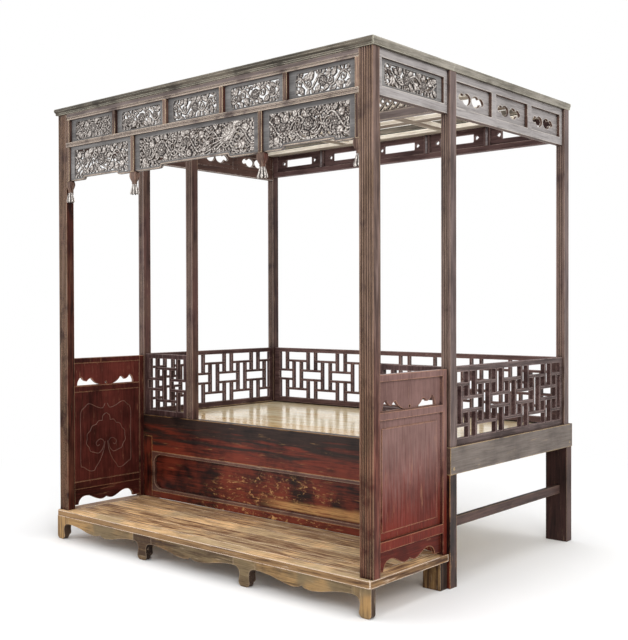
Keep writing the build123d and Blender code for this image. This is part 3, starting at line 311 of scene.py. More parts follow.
def timber_material(name):
    """Old timber: streaked grain, broad shades, faded faces, painted shade in grooves, worn edges, fine
    fibres.
    """
    look = {**PLAIN, **FINISHES[name]}
    graph = Graph(bpy.data.materials.new(name))
    grain = graph.add("Attribute", {"attribute_name": "grain"}).outputs["Vector"]
    tone = graph.add("Attribute", {"attribute_name": "tone"}).outputs["Fac"]
    groove_shade = graph.add("Attribute", {"attribute_name": "groove_shade"}).outputs["Fac"]
    place = graph.add("TexCoord").outputs["Object"]
    facing = graph.add("NewGeometry").outputs["True Normal"]
    sideways, _, upward = graph.add("SeparateXYZ", Vector=facing).outputs
    half = graph.calc("SIGN", graph.add("SeparateXYZ", Vector=place).outputs[0])
    outward = graph.times(sideways, half)
    if look["turned"] == "aside":
        outward = graph.calc("ABSOLUTE", sideways)
    if look["turned"] == "upright":
        outward = graph.minus(1.0, graph.calc("ABSOLUTE", upward))
    fine = look["fine"]
    figure = graph.noise(graph.stretch(grain, 2.6 * fine, 38.0 * fine, 38.0 * fine), 1.0, 6.0, 0.62, 0.5)
    streaks = graph.noise(graph.stretch(grain, 6.0, 110.0, 110.0), 1.0, 4.0, 0.6, 0.3)
    fibres = graph.noise(graph.stretch(grain, 9.0, 260.0, 260.0), 1.0, 3.0)
    clouds = graph.noise(place, 5.5, 5.0, 0.6)

    share = look["cloudy"]
    shade = graph.plus(graph.times(figure, 1.05 - share), graph.times(streaks, 0.45))
    shade = graph.plus(shade, graph.times(clouds, share))
    shade = graph.plus(shade, graph.times(graph.minus(tone, 0.5), 0.20))
    shade = graph.band(shade, 0.75 - look["contrast"], 0.75 + look["contrast"])
    colour = grain_colour(graph, look, shade, figure, outward)
    deep = tuple(0.6 * value for value in look["dark"])
    colour = graph.mix(graph.times(graph.band(fibres, 0.45, 0.72), 0.35), colour, deep)

    open_air = graph.add("AmbientOcclusion", {"samples": 4}, Distance=0.018).outputs["AO"]
    outer = graph.band(open_air, 0.55, 0.80)
    patches = graph.band(graph.noise(place, 11.0, 4.0, 0.6), 0.28, 0.52)
    edges = graph.times(graph.times(worn_edges(graph, look["edge"]), outer), patches)
    scuffs = graph.band(graph.noise(graph.stretch(grain, 7.0, 70.0, 70.0), 1.0, 5.0, 0.7), 0.60, 0.72)
    worn = graph.calc("MAXIMUM", graph.times(edges, look["wear"]), graph.times(scuffs, look["scuffs"]))
    if look["scratches"]:
        worn = graph.calc("MAXIMUM", worn, graph.times(scratched(graph, grain, place), look["scratches"]))
    # Painted shade in the bottoms of the grooves.
    colour = graph.mix(graph.times(groove_shade, 0.65), colour, GROOVE_SHADE)
    colour = graph.mix(worn, colour, look["worn"])
    # Darkens the crevices where little open air reaches: dust, and painted shade.
    crevice_dirt_and_shade = graph.times(graph.band(open_air, 0.72, 0.30), look["dirt_and_shade"])
    colour = graph.mix(crevice_dirt_and_shade, colour, tuple(0.45 * value for value in look["dark"]))

    rough = graph.plus(look["rough"] - 0.10, graph.times(figure, 0.20))
    relief = graph.plus(graph.times(fibres, 0.5), graph.times(figure, 1.0))
    bump = graph.add("Bump", Strength=0.35, Distance=0.0012, Height=relief).outputs[0]
    finish = graph.add("BsdfPrincipled", Base_Color=colour, Roughness=rough, Normal=bump,
                       Specular_IOR_Level=look["specular"], Coat_Weight=look["coat"], Coat_Roughness=0.12)
    graph.add("OutputMaterial", Surface=finish.outputs[0])
    return graph.owner


def carving_material():
    """Carved timber: near black depths (dust, old varnish, painted shade) and pale crests (rubbing,
    painted highlights).
    """
    graph = Graph(bpy.data.materials.new("carving"))
    depth = graph.add("Attribute", {"attribute_name": "depth"}).outputs["Fac"]
    place = graph.add("TexCoord").outputs["Object"]
    clouds = graph.noise(place, 22.0, 5.0, 0.65)
    specks = graph.noise(place, 130.0, 3.0, 0.6)
    base = graph.mix(graph.band(clouds, 0.35, 0.65), (0.075, 0.052, 0.042), (0.230, 0.200, 0.180))
    base = graph.mix(graph.band(specks, 0.52, 0.70), base, (0.30, 0.27, 0.25))
    # Depths go near black: dust and old varnish, and painted shade.
    deep = graph.mix(graph.band(depth, 0.66, 0.40), base, (0.005, 0.003, 0.003))
    # Crests go pale, flecked by the specks: rubbed wear, and painted highlights.
    height = graph.plus(depth, graph.times(graph.minus(specks, 0.5), 0.7))
    crest = graph.band(height, 0.66, 0.92)
    worn_and_highlit_crest = graph.mix(graph.band(specks, 0.38, 0.58), (0.36, 0.31, 0.28), (0.92, 0.86, 0.80))
    colour = graph.mix(graph.times(crest, 0.8), deep, worn_and_highlit_crest)
    fine = graph.noise(place, 420.0, 3.0)
    bump = graph.add("Bump", Strength=0.3, Distance=0.0008, Height=fine).outputs[0]
    finish = graph.add("BsdfPrincipled", Base_Color=colour, Roughness=0.5, Normal=bump,
                       Specular_IOR_Level=0.3)
    graph.add("OutputMaterial", Surface=finish.outputs[0])
    return graph.owner


MATERIALS = {name: timber_material(name) for name in FINISHES}
MATERIALS["carving"] = carving_material()


# ------------------------------------------------------------------ pieces
def placed(name, data):
    """A new object of the scene."""
    made = bpy.data.objects.new(name, data)
    bpy.context.scene.collection.objects.link(made)
    return made


def show(name, mesh, finish, *nodes):
    """Adds a piece to the bed."""
    piece = placed(name, mesh)
    mesh.materials.append(MATERIALS[finish])
    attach(piece, "root")
    if nodes:
        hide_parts(*nodes)
    next(slot for slot, finishes in SLOTS.items() if finish in finishes)


# ------------------------------------------------------------------ timbers
EDGE_EASE = 0.0012      # the arrises are eased by this much
SHARP = math.radians(35)
SHORTEST = 0.004        # edges shorter than this keep their shape
GRAIN_UP = ("side_panel_board", "side_panel_fret")
GROOVED = ("front_post", "bed_post", "inner_post", "frieze_top_rail", "frieze_middle_rail")
GROOVE_DEPTH = 0.0030   # where the painted shade in a groove of a front face is darkest
CARVED = ("frieze_upper_panels", "frieze_lower_panels", "frieze_finials")


def clean_mesh(node):
    """The node's mesh with its seams closed and its flat faces whole."""
    bm = bmesh.new()
    bm.from_mesh(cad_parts[node].data)
    bmesh.ops.remove_doubles(bm, verts=bm.verts, dist=1e-6)
    bmesh.ops.dissolve_limit(bm, angle_limit=0.01, verts=bm.verts, edges=bm.edges)
    return bm


def solids(bm):
    """The separate timbers of a mesh, each as a list of its vertices."""
    seen, groups = set(), []
    for start in bm.verts:
        if start in seen:
            continue
        seen.add(start)
        group, waiting = [], [start]
        while waiting:
            vertex = waiting.pop()
            group.append(vertex)
            for edge in vertex.link_edges:
                other = edge.other_vert(vertex)
                if other not in seen:
                    seen.add(other)
                    waiting.append(other)
        groups.append(group)
    return groups


def extent(group):
    """The low and the high corner of the box round one timber, in millimetres."""
    return [[pick(vertex.co[i] for vertex in group) * 1000 for i in range(3)] for pick in (min, max)]


def ease_edges(bm, group):
    """Rounds one timber's outer arrises a little."""
    edges = dict.fromkeys(edge for vertex in group for edge in vertex.link_edges)
    sharp = [edge for edge in edges if len(edge.link_faces) == 2 and edge.is_convex
             and edge.calc_face_angle(0.0) > SHARP and edge.calc_length() > SHORTEST]
    bmesh.ops.bevel(bm, geom=sharp, offset=EDGE_EASE, offset_type="OFFSET", segments=2, profile=0.6,
                    affect="EDGES", clamp_overlap=True)


def mark_grain(bm, node, chance):
    """Stores, for each timber, coordinates that run along it, a tone of its own and, on grooved pieces, how
    far into a groove each point lies, for the painted groove shade.
    """
    grain = bm.verts.layers.float_vector.new("grain")
    tone = bm.verts.layers.float.new("tone")
    groove_shade = bm.verts.layers.float.new("groove_shade")
    for group in solids(bm):
        spans = [max(v.co[i] for v in group) - min(v.co[i] for v in group) for i in range(3)]
        along = 2 if node.startswith(GRAIN_UP) else spans.index(max(spans))
        start = Vector([chance.uniform(0, 40) for _ in range(3)])
        own = chance.random()
        front = min(v.co.y for v in group)
        for vertex in group:
            turned = Vector([vertex.co[(along + i) % 3] for i in range(3)])
            vertex[grain] = turned + start
            vertex[tone] = own
            behind = (vertex.co.y - front - EDGE_EASE) / (GROOVE_DEPTH - EDGE_EASE)
            if node.startswith(GROOVED) and 0 < behind < 2:
                vertex[groove_shade] = min(1.0, behind)


def add_timbers(node):
    """The visible piece that stands for one CAD node."""
    finish = next(finish for start, finish in LOOKS.items() if node.startswith(start))
    bm = clean_mesh(node)
    for group in solids(bm):
        if node.startswith("side_frieze") and is_alcove_board(*extent(group)):
            bmesh.ops.delete(bm, geom=group, context="VERTS")
        else:
            ease_edges(bm, group)
    mark_grain(bm, node, random.Random(node))
    mesh = bpy.data.meshes.new(node + "_timber")
    bm.to_mesh(mesh)
    bm.free()
    for polygon in mesh.polygons:
        polygon.use_smooth = False
    show(node + "_timber", mesh, finish, node)


# ------------------------------------------------------------------ carving
CELL = 1.7              # millimetres between the points of a carving's height field
COARSE = 3.0            # the same for the map of its gaps
FAR = -9.0              # "nowhere near", in the cover field
MARGIN = 4.0            # the carving runs this far under its frame
SMALLEST_GAP = 4.4      # gaps narrower than this stay open
OPEN_GAP = 7.2          # the same in the panels that light shows through
FILL_TRIES = 900


def depth_inside(outline, u, v):
    """How far points lie inside a closed outline, negative outside it."""
    u, v = np.broadcast_arrays(u, v)
    nearest = np.full(u.shape, np.inf)
    odd = np.zeros(u.shape, bool)
    for (u0, v0), (u1, v1) in zip(outline, outline[1:] + outline[:1]):
        du, dv = u1 - u0, v1 - v0
        share = np.clip(((u - u0) * du + (v - v0) * dv) / max(du * du + dv * dv, 1e-9), 0, 1)
        nearest = np.minimum(nearest, np.hypot(u - u0 - share * du, v - v0 - share * dv))
        if dv:
            odd ^= ((v0 > v) != (v1 > v)) & (u < u0 + (v - v0) * du / dv)
    return np.where(odd, nearest, -nearest)


def smooth_path(points, step=1.1):
    """Points at even steps along a smooth curve through the given ones."""
    controls = [np.array(p, float) for p in (points[0], *points, points[-1])]
    out = []
    for p0, p1, p2, p3 in zip(controls, controls[1:], controls[2:], controls[3:]):
        count = max(1, int(np.hypot(*(p2 - p1)) / step))
        for t in np.arange(count) / count:
            out.append(0.5 * (2 * p1 + (p2 - p0) * t + (2 * p0 - 5 * p1 + 4 * p2 - p3) * t ** 2
                              + (3 * p1 - p0 - 3 * p2 + p3) * t ** 3))
    out.append(controls[-1])
    return np.array(out)


class Relief:
    """A pierced carving as a height field, in millimetres from its lower left corner.
    cover is the distance inside its outline and relief its height from 0 to 1; away maps its gaps."""

    def __init__(self, outline, seed):
        self.width, self.height = [max(axis) for axis in zip(*outline)]
        self.outline = outline
        self.chance = random.Random(seed)
        self.u = np.arange(-MARGIN, self.width + MARGIN + CELL, CELL)
        self.v = np.arange(-MARGIN, self.height + MARGIN + CELL, CELL)
        self.cover = np.full((len(self.v), len(self.u)), FAR)
        self.relief = np.zeros_like(self.cover)
        self.under = False
        self.wide_u = np.arange(0.0, self.width, COARSE)
        self.wide_v = np.arange(0.0, self.height, COARSE)[:, None]
        self.indoors = depth_inside(outline, self.wide_u[None, :], self.wide_v) + 2.0
        self.away = np.full_like(self.indoors, self.width)
        self.nearest = np.zeros((*self.away.shape, 3))

    def mark(self, u, v, radius):
        """Takes a round spot out of the map of gaps."""
        away = np.hypot(self.wide_u - u, self.wide_v - v) - radius
        closer = away < self.away
        self.away[closer] = away[closer]
        self.nearest[closer] = (u, v, radius)

    def window(self, u, v, reach):
        """The part of the grid within reach of a point, and its distances from the point."""
        left, low = u - reach + MARGIN, v - reach + MARGIN
        columns = slice(max(0, int(left / CELL)), max(0, int((left + 2 * reach) / CELL) + 2))
        rows = slice(max(0, int(low / CELL)), max(0, int((low + 2 * reach) / CELL) + 2))
        return (rows, columns), self.u[None, columns] - u, self.v[rows, None] - v

    def lay(self, where, inside, top):
        """Adds a shape, over what is there or, while under is set, beneath it."""
        cover, relief = self.cover[where], self.relief[where]
        if self.under:
            mine = (inside > -CELL) & (cover <= 0)
        else:
            mine = (inside > 0) | ((inside > -CELL) & (cover <= 0))
        relief[mine] = np.clip(top, 0.03, 1.0)[mine]
        np.maximum(cover, np.maximum(inside, FAR), out=cover)

    def stem(self, path, radius, tip, level=0.4):
        """A round stem that thins towards its tip."""
        low = np.full_like(self.cover, FAR)
        top = np.zeros_like(self.cover)
        spots = [(u, v, r) for (u, v), r in zip(path, np.linspace(radius, tip, len(path)))]
        for u, v, r in spots:
            where, du, dv = self.window(u, v, r + 2 * CELL)
            away = np.hypot(du, dv)
            low[where] = np.maximum(low[where], r - away)
            bulge = np.sqrt(np.clip(1 - (away / r) ** 2, 0, 1))
            top[where] = np.maximum(top[where], level + (1 - level) * 0.75 * bulge)
        for u, v, r in spots[::2]:
            self.mark(u, v, r)
        touched = low > FAR
        rows, columns = np.where(touched.any(1))[0], np.where(touched.any(0))[0]
        if len(rows):
            where = (slice(rows[0], rows[-1] + 1), slice(columns[0], columns[-1] + 1))
            self.lay(where, low[where], top[where])

    def leaf(self, base, angle, length, width, level=0.45, bend=0.0, lobes=0):
        """A leaf with a grooved midrib and slanting veins."""
        ahead = np.array((math.cos(angle), math.sin(angle)))
        middle = base + ahead * length / 2
        where, x, y = self.window(*middle, length * 0.6 + width)
        along = (x * ahead[0] + y * ahead[1]) / length + 0.5
        across = y * ahead[0] - x * ahead[1] - bend * length * along * (1 - along)
        t = np.clip(along, 0.0, 1.0)
        notches = 1 - 0.2 * (lobes > 0) * np.abs(np.sin(math.pi * lobes * t))
        half = width * np.sin(math.pi * t ** 0.85) ** 0.8 * notches
        inside = np.minimum(half - np.abs(across), np.minimum(along, 1 - along) * length + 1.0)
        share = np.clip(np.abs(across) / np.maximum(half, 0.5), 0, 1)
        top = level + (1 - level) * (0.95 - share ** 2 * 0.8)
        top = top - 0.30 * np.exp(-(across / (0.15 * width + 0.6)) ** 2)
        veins = np.cos((along * length - np.abs(across) * 0.8) * 2 * math.pi / max(6.0, width))
        self.lay(where, inside, top - 0.14 * np.clip(veins, 0, 1) * (share > 0.2))
        for step in np.linspace(0.1, 0.9, 6):
            spot = base + ahead * length * step
            self.mark(*spot, max(1.0, width * math.sin(math.pi * step ** 0.85) * 0.85))

    def flower(self, centre, radius, petals):
        """A peony: rings of cupped petals round a button."""
        where, x, y = self.window(*centre, radius + 2 * CELL)
        away = np.hypot(x, y)
        angle = np.arctan2(y, x) + self.chance.uniform(0, 3)
        lobe = np.abs(np.cos(petals * angle / 2))
        edge = radius * (0.80 + 0.20 * lobe ** 0.6)
        top = 0.10 + 0.75 * np.clip(away / edge, 0, 1) ** 3 - 0.50 * (1 - lobe) ** 2
        for ring, (reach, level) in enumerate(((0.70, 0.30), (0.44, 0.42))):
            inner = np.abs(np.cos((petals - ring) * (angle + 0.5 * ring + 0.4) / 2))
            limit = radius * reach * (0.78 + 0.22 * inner ** 0.6)
            cup = level + 0.60 * np.clip(away / limit, 0, 1) ** 3 - 0.40 * (1 - inner) ** 3
            top = np.where(away < limit, cup, top)
        button = radius * 0.18
        top = np.where(away < button, 1.0 - 0.3 * (away / button) ** 2, top)
        self.lay(where, edge - away, top)
        around = 0.6 * radius
        for turn in np.linspace(0, 2 * math.pi, 12, endpoint=False):
            spot = centre[0] + around * math.cos(turn), centre[1] + around * math.sin(turn)
            self.mark(*spot, radius * 0.36)
        self.mark(*centre, radius * 0.6)

    def wreath(self, centre, radius):
        """Two long leaves that close round a bloom."""
        for side in (-1, 1):
            for reach, level in ((1.0, 0.30), (0.76, 0.15)):
                turns = np.linspace(-0.42, 0.34 + 0.10 * side, 12) * math.pi
                path = [(centre[0] + side * radius * reach * 1.15 * math.cos(turn),
                         centre[1] + radius * reach * math.sin(turn)) for turn in turns]
                self.stem(smooth_path(path), 5.6 * reach, 2.0, level)

    def curl(self, start, heading, size, turns, side, radius, level=0.4):
        """A stem that winds up into a spiral."""
        steps = int(18 * turns + 10)
        point, angle, points = np.array(start, float), heading, [start]
        for share in np.arange(steps) / steps:
            angle += side * 2 * math.pi * turns / steps
            stride = 2 * math.pi * size * (1 - share * 0.82) * turns / steps
            point = point + stride * np.array((math.cos(angle), math.sin(angle)))
            points.append(point)
        self.stem(smooth_path(points), radius, radius * 0.6, level)
        self.mark(*point, radius * 1.2)

    def bird(self, centre, size, tilt):
        """A long-tailed bird: streaming tail, body, arched neck, crested head and a raised wing."""
        turn = np.array(((math.cos(tilt), -math.sin(tilt)), (math.sin(tilt), math.cos(tilt))))

        def at(x, y):
            return np.array(centre) + turn @ np.array((x, y)) * size

        for lift, length in ((0.60, 3.4), (0.24, 4.2), (-0.12, 4.6), (-0.50, 3.8)):
            tail = [at(-0.4, 0.0), at(-0.45 * length, lift * 0.8), at(-0.75 * length, lift * 1.3)]
            tail.append(at(-length, lift * 1.2))
            self.stem(smooth_path(tail), 0.13 * size, 0.09 * size, 0.25)
            self.leaf(at(-length + 0.5, lift * 1.25), math.pi + tilt, 0.9 * size, 0.23 * size, 0.6)
        for feather in range(6):
            root = at(0.20 - 0.08 * feather, 0.05)
            self.leaf(root, tilt + 1.2 + 0.28 * feather, (1.5 - 0.05 * feather) * size, 0.20 * size, 0.50)
        for feather in range(4):
            root = at(0.1 - 0.05 * feather, 0.05)
            self.leaf(root, tilt + 1.35 + 0.33 * feather, 0.85 * size, 0.18 * size, 0.75)
        body = smooth_path([at(-0.75, -0.10), at(-0.25, -0.14), at(0.25, 0.02), at(0.60, 0.28)])
        self.stem(body, 0.26 * size, 0.33 * size, 0.45)
        neck = smooth_path([at(0.50, 0.25), at(0.95, 0.35), at(0.95, 0.78), at(1.25, 0.95)])
        self.stem(neck, 0.26 * size, 0.16 * size, 0.50)
        self.stem(smooth_path([at(1.20, 0.95), at(1.36, 0.98)]), 0.22 * size, 0.18 * size, 0.85)
        self.stem(smooth_path([at(1.40, 0.98), at(1.80, 0.86)]), 0.11 * size, 0.05 * size, 0.80)
        for angle in (1.6, 2.1, 2.6):
            self.leaf(at(1.18, 1.08), tilt + angle, 0.50 * size, 0.10 * size, 0.75)

    def vine(self, waves, phase, radius):
        """The main vine swings from end to end, with a spiral in each of its bays."""
        low, high = self.height * 0.20, self.height * 0.84
        middle, swing = (low + high) / 2, (high - low) * 0.42
        shares = np.linspace(0, 1, int(waves * 12) + 1)
        turns = [2 * math.pi * (waves * share + phase) for share in shares]
        points = [(share * self.width, middle + swing * math.sin(turn))
                  for share, turn in zip(shares, turns)]
        path = smooth_path(points)
        self.stem(path, radius, radius, 0.25)
        for number in range(int(2 * waves) + 1):
            share = (number + 0.5 - 2 * phase) / (2 * waves)
            if 0.02 < share < 0.98:
                crest = math.sin(2 * math.pi * (waves * share + phase)) > 0
                start = path[int(max(0.0, share - 0.16 / waves) * (len(path) - 1))]
                size = self.height * 0.18 * self.chance.uniform(0.85, 1.1)
                self.curl(start, 0.9 if crest else -0.9, size, 1.5, -1 if crest else 1, radius * 0.85, 0.25)

    def fill(self, smallest=SMALLEST_GAP):
        """Curls and leaves grow beneath the rest into its gaps, until none is wide."""
        self.under = True
        for _ in range(FILL_TRIES):
            space = np.minimum(self.away, self.indoors)
            row, column = np.unravel_index(space.argmax(), space.shape)
            width = space[row, column]
            if width < smallest:
                break
            spot = np.array((self.wide_u[column], self.wide_v[row, 0]))
            near_u, near_v, radius = self.nearest[row, column]
            toward = spot - (near_u, near_v)
            reach = max(1e-3, math.hypot(*toward))
            heading = math.atan2(toward[1], toward[0])
            start = np.array((near_u, near_v)) + toward / reach * radius * 0.7
            level = self.chance.uniform(0.05, 0.45)
            if self.chance.random() < 0.34:
                side = self.chance.choice((-1, 1))
                size = min(width * 0.95, 15.0)
                lead = spot - toward / reach * size * 0.4
                self.stem(smooth_path([start, lead]), 5.0, 4.4, level)
                self.curl(lead, heading - side * 1.2, size * 0.7, 1.05, side, 4.4, level)
            else:
                length = min(reach - radius * 0.7 + width * 1.6, 46.0)
                turn = self.chance.uniform(-0.3, 0.3)
                self.leaf(start, heading + turn, length, max(7.6, width * 0.80), level + 0.1,
                          self.chance.uniform(-0.6, 0.6), self.chance.choice((0, 2, 3)))
            self.mark(*spot, 1.0)
        self.under = False


def relief_mesh(relief, name, place, thickness, web, along):
    """Turns a height field into a solid carved on both faces.  place gives world points for (u, v, w) in
    metres; web is the thickness that the edges keep, and along the axis that the grain follows."""
    room = depth_inside(relief.outline, relief.u[None, :], relief.v[:, None])
    cover = np.minimum(relief.cover, room + MARGIN - CELL)
    kept = (cover[:-1, :-1] + cover[1:, :-1] + cover[:-1, 1:] + cover[1:, 1:]) > 0
    rows, columns = cover.shape
    slope_v, slope_u = np.gradient(cover, CELL)
    steep = np.maximum(np.hypot(slope_u, slope_v), 0.3)
    around = np.zeros((rows, columns), int)
    for shift_v in (0, 1):
        for shift_u in (0, 1):
            around[shift_v:rows - 1 + shift_v, shift_u:columns - 1 + shift_u] += kept
    edge = (around > 0) & (around < 4)
    move = np.where(edge, np.clip(cover, -0.65 * CELL, 0.65 * CELL), 0.0)
    u = relief.u[None, :] - move * slope_u / steep
    v = relief.v[:, None] - move * slope_v / steep
    w = web / 2 + relief.relief * (thickness - web) / 2
    used = np.flatnonzero(around.ravel())
    number = np.full(rows * columns, -1)
    number[used] = np.arange(len(used))
    points = np.stack([a.ravel()[used] for a in (u, v, w)], 1) / 1000
    back = points * (1, 1, -1)
    index = number.reshape(rows, columns)
    corners = [index[:-1, :-1], index[:-1, 1:], index[1:, 1:], index[1:, :-1]]
    front_faces = np.stack([c[kept] for c in corners], 1)
    back_faces = front_faces[:, ::-1] + len(used)
    padded = np.pad(kept, 1)
    walls = []
    for shift, first, second in (((-1, 0), 0, 1), ((0, 1), 1, 2), ((1, 0), 2, 3), ((0, -1), 3, 0)):
        open_side = ~padded[1 + shift[0]:rows + shift[0], 1 + shift[1]:columns + shift[1]] & kept
        a, b = corners[first][open_side], corners[second][open_side]
        walls.append(np.stack([b, a, a + len(used), b + len(used)], 1))
    faces = np.concatenate([front_faces, back_faces] + walls)
    world = [place(*point) for point in np.concatenate([points, back])]
    mesh = bpy.data.meshes.new(name)
    mesh.from_pydata(world, [], faces.tolist())
    carved = np.zeros(len(faces), bool)
    carved[:len(front_faces) * 2] = True
    mesh.polygons.foreach_set("use_smooth", carved)
    depth = np.tile(relief.relief.ravel()[used], 2).astype(np.float32)
    mesh.attributes.new("depth", "FLOAT", "POINT").data.foreach_set("value", depth)
    add_grain(mesh, along, random.Random(name))
    mesh.validate()
    return mesh


def add_grain(mesh, along, chance):
    """The grain coordinates and tone of a piece that is one timber."""
    points = np.zeros(len(mesh.vertices) * 3)
    mesh.vertices.foreach_get("co", points)
    turned = np.roll(points.reshape(-1, 3), -along, axis=1) + [chance.uniform(0, 40) for _ in range(3)]
    mesh.attributes.new("grain", "FLOAT_VECTOR", "POINT").data.foreach_set("vector", turned.ravel())
    tones = np.full(len(mesh.vertices), chance.random(), np.float32)
    mesh.attributes.new("tone", "FLOAT", "POINT").data.foreach_set("value", tones)


def flat_board(name, outlines, place, thickness, along):
    """A board with eased edges; the first outline is its own and the others are its openings."""
    ease = 0.8
    curve = bpy.data.curves.new(name, "CURVE")
    curve.dimensions = "2D"
    curve.fill_mode = "BOTH"
    curve.extrude = (thickness / 2 - ease) / 1000
    curve.bevel_depth = ease / 1000
    curve.bevel_resolution = 1
    curve.offset = -ease / 1000
    for outline in outlines:
        spline = curve.splines.new("POLY")
        spline.points.add(len(outline) - 1)
        for point, (u, v) in zip(spline.points, outline):
            point.co = (u / 1000, v / 1000, 0, 1)
        spline.use_cyclic_u = True
    drawn = placed(name, curve)
    bpy.context.view_layer.update()
    mesh = bpy.data.meshes.new_from_object(drawn.evaluated_get(bpy.context.evaluated_depsgraph_get()))
    bpy.data.objects.remove(drawn)
    for vertex in mesh.vertices:
        vertex.co = place(*vertex.co)
    mesh.name = name
    mesh.materials.clear()
    add_grain(mesh, along, random.Random(name))
    return mesh


def rope(path, radius, place, closed=False, sides=8):
    """Points and faces of a round bead along a path of (u, v, w) in millimetres."""
    path = [Vector(p) for p in path]
    count = len(path)
    points, faces = [], []
    for number, point in enumerate(path):
        ahead = path[(number + 1) % count] if closed or number < count - 1 else point
        behind = path[number - 1] if closed or number else point
        along = (ahead - behind).normalized()
        out = Vector((0, 0, 1))
        aside = along.cross(out).normalized()
        for side in range(sides):
            turn = 2 * math.pi * side / sides
            spot = point + radius * (aside * math.cos(turn) + out * math.sin(turn))
            points.append(place(*(spot / 1000)))
    for number in range(count if closed else count - 1):
        for side in range(sides):
            a, b = number * sides + side, number * sides + (side + 1) % sides
            c, d = [(x + sides) % (count * sides) for x in (b, a)]
            faces.append((a, b, c, d))
    if not closed:
        faces.append(tuple(range(sides))[::-1])
        faces.append(tuple(range((count - 1) * sides, count * sides)))
    return points, faces


def rope_mesh(name, ropes, along):
    """One mesh of several beads."""
    points, faces = [], []
    for rope_points, rope_faces in ropes:
        faces += [tuple(i + len(points) for i in face) for face in rope_faces]
        points += rope_points
    mesh = bpy.data.meshes.new(name)
    mesh.from_pydata(points, [], faces)
    mesh.polygons.foreach_set("use_smooth", [True] * len(faces))
    add_grain(mesh, along, random.Random(name))
    return mesh


# ------------------------------------------------------------------ the carved frieze panels
SIDE_BORDER = 34.0      # plain border at a panel's ends, as in the solids
TOP_BORDER = 18.0
LOW_BORDER = 12.0
CORNER_CUT = 12.0
SHOULDER_SHARE = 0.23   # part of a lower panel's width that its low end takes
RISES = (14.0, 18.0, 14.0)      # of the lower panels' lower edges, between their ends
CARVING_THICKNESS = 16.0
OPEN_THICKNESS = 9.0    # of the panels that light shows through
CARVING_WEB = 2.6
BEAD = 1.8
BEAD_SUNK = 0.6         # the bead's middle lies this deep in the board's face
LIP = 3.2               # radius of the moulding along a lower panel's edge
LIP_RISE = 3.0          # its height above the edge
VINE = 5.0              # radius of a panel's main vine
UPPER_SEED = 11
LOWER_SEED = 31
SIDE_SEED = 51
BOARD_THIN = 15.0       # the side friezes' boards are thinner than this
BOARD_LONG = 400.0      # and the one over the alcove is longer than this


def front_place(left, low, y):
    """World points for a panel that faces the front."""
    return lambda u, v, w: (left + u, y - w, low + v)


def side_place(start, low, x, side):
    """World points for a panel that faces outward on the right (side 1) or the left (side -1)."""
    return lambda u, v, w: (x + side * w, start + side * u, low + v)


def whole(width, height):
    """The outline of a plain board."""
    return [(0, 0), (width, 0), (width, height), (0, height)]


def cut_rect(u0, v0, u1, v1, cut):
    """A rectangle without its corners."""
    return [(u0 + cut, v0), (u1 - cut, v0), (u1, v0 + cut), (u1, v1 - cut),
            (u1 - cut, v1), (u0 + cut, v1), (u0, v1 - cut), (u0, v0 + cut)]


def arched(u0, v0, u1, v1, end, rise):
    """A rectangle whose lower edge swings up by rise, at a distance end from each side."""
    quarter = np.linspace(0, math.pi / 2, 6)
    swing = [(end - rise + rise * math.sin(t), rise - rise * math.cos(t)) for t in quarter]
    left = [(u0 + a, v0 + b) for a, b in swing]
    right = [(u1 - a, v0 + b) for a, b in reversed(swing)]
    return [(u0, v0)] + left + right + [(u1, v0), (u1, v1), (u0, v1)]


def panel_boxes(node, wanted=lambda low, high: True):
    """The boxes of a node's solids that are wanted, in millimetres, from left to right and front to back."""
    bm = clean_mesh(node)
    boxes = []
    for group in solids(bm):
        box = extent(group)
        if wanted(*box):
            boxes.append(box)
    bm.free()
    return sorted(boxes)


def carved_panel(name, relief, outline, place, thickness, along, carved, *nodes):
    """A frieze panel in three pieces: its frame board, the bead round the field and the carving."""
    frame_mesh = flat_board(name + "_board", [outline, relief.at_panel], place, thickness, along)
    show(name + "_board", frame_mesh, "panel", *nodes)
    beads = []
    for w in (thickness / 2 - BEAD_SUNK, BEAD_SUNK - thickness / 2):
        beads.append(rope([(u, v, w) for u, v in relief.at_panel], BEAD, place, closed=True))
    show(name + "_bead", rope_mesh(name + "_bead", beads, along), "panel")
    shift_u, shift_v = relief.shift

    def carving_place(u, v, w):
        return place(u + shift_u / 1000, v + shift_v / 1000, w)

    carving = relief_mesh(relief, name + "_carving", carving_place, carved, CARVING_WEB, along)
    show(name + "_carving", carving, "carving")


def field_relief(field, seed):
    """An empty relief for a field given in its panel's coordinates."""
    shift = (min(u for u, v in field), min(v for u, v in field))
    relief = Relief([(u - shift[0], v - shift[1]) for u, v in field], seed)
    relief.at_panel, relief.shift = field, shift
    return relief


def flower_panel(relief, waves, phase, blooms):
    """A vine with blooms, each given by its place and its size as shares of the field's width and height."""
    relief.vine(waves, phase, VINE)
    for share_u, share_v, size in blooms:
        petals = 5 + int(size * 12)
        relief.flower((share_u * relief.width, share_v * relief.height), size * relief.height, petals)


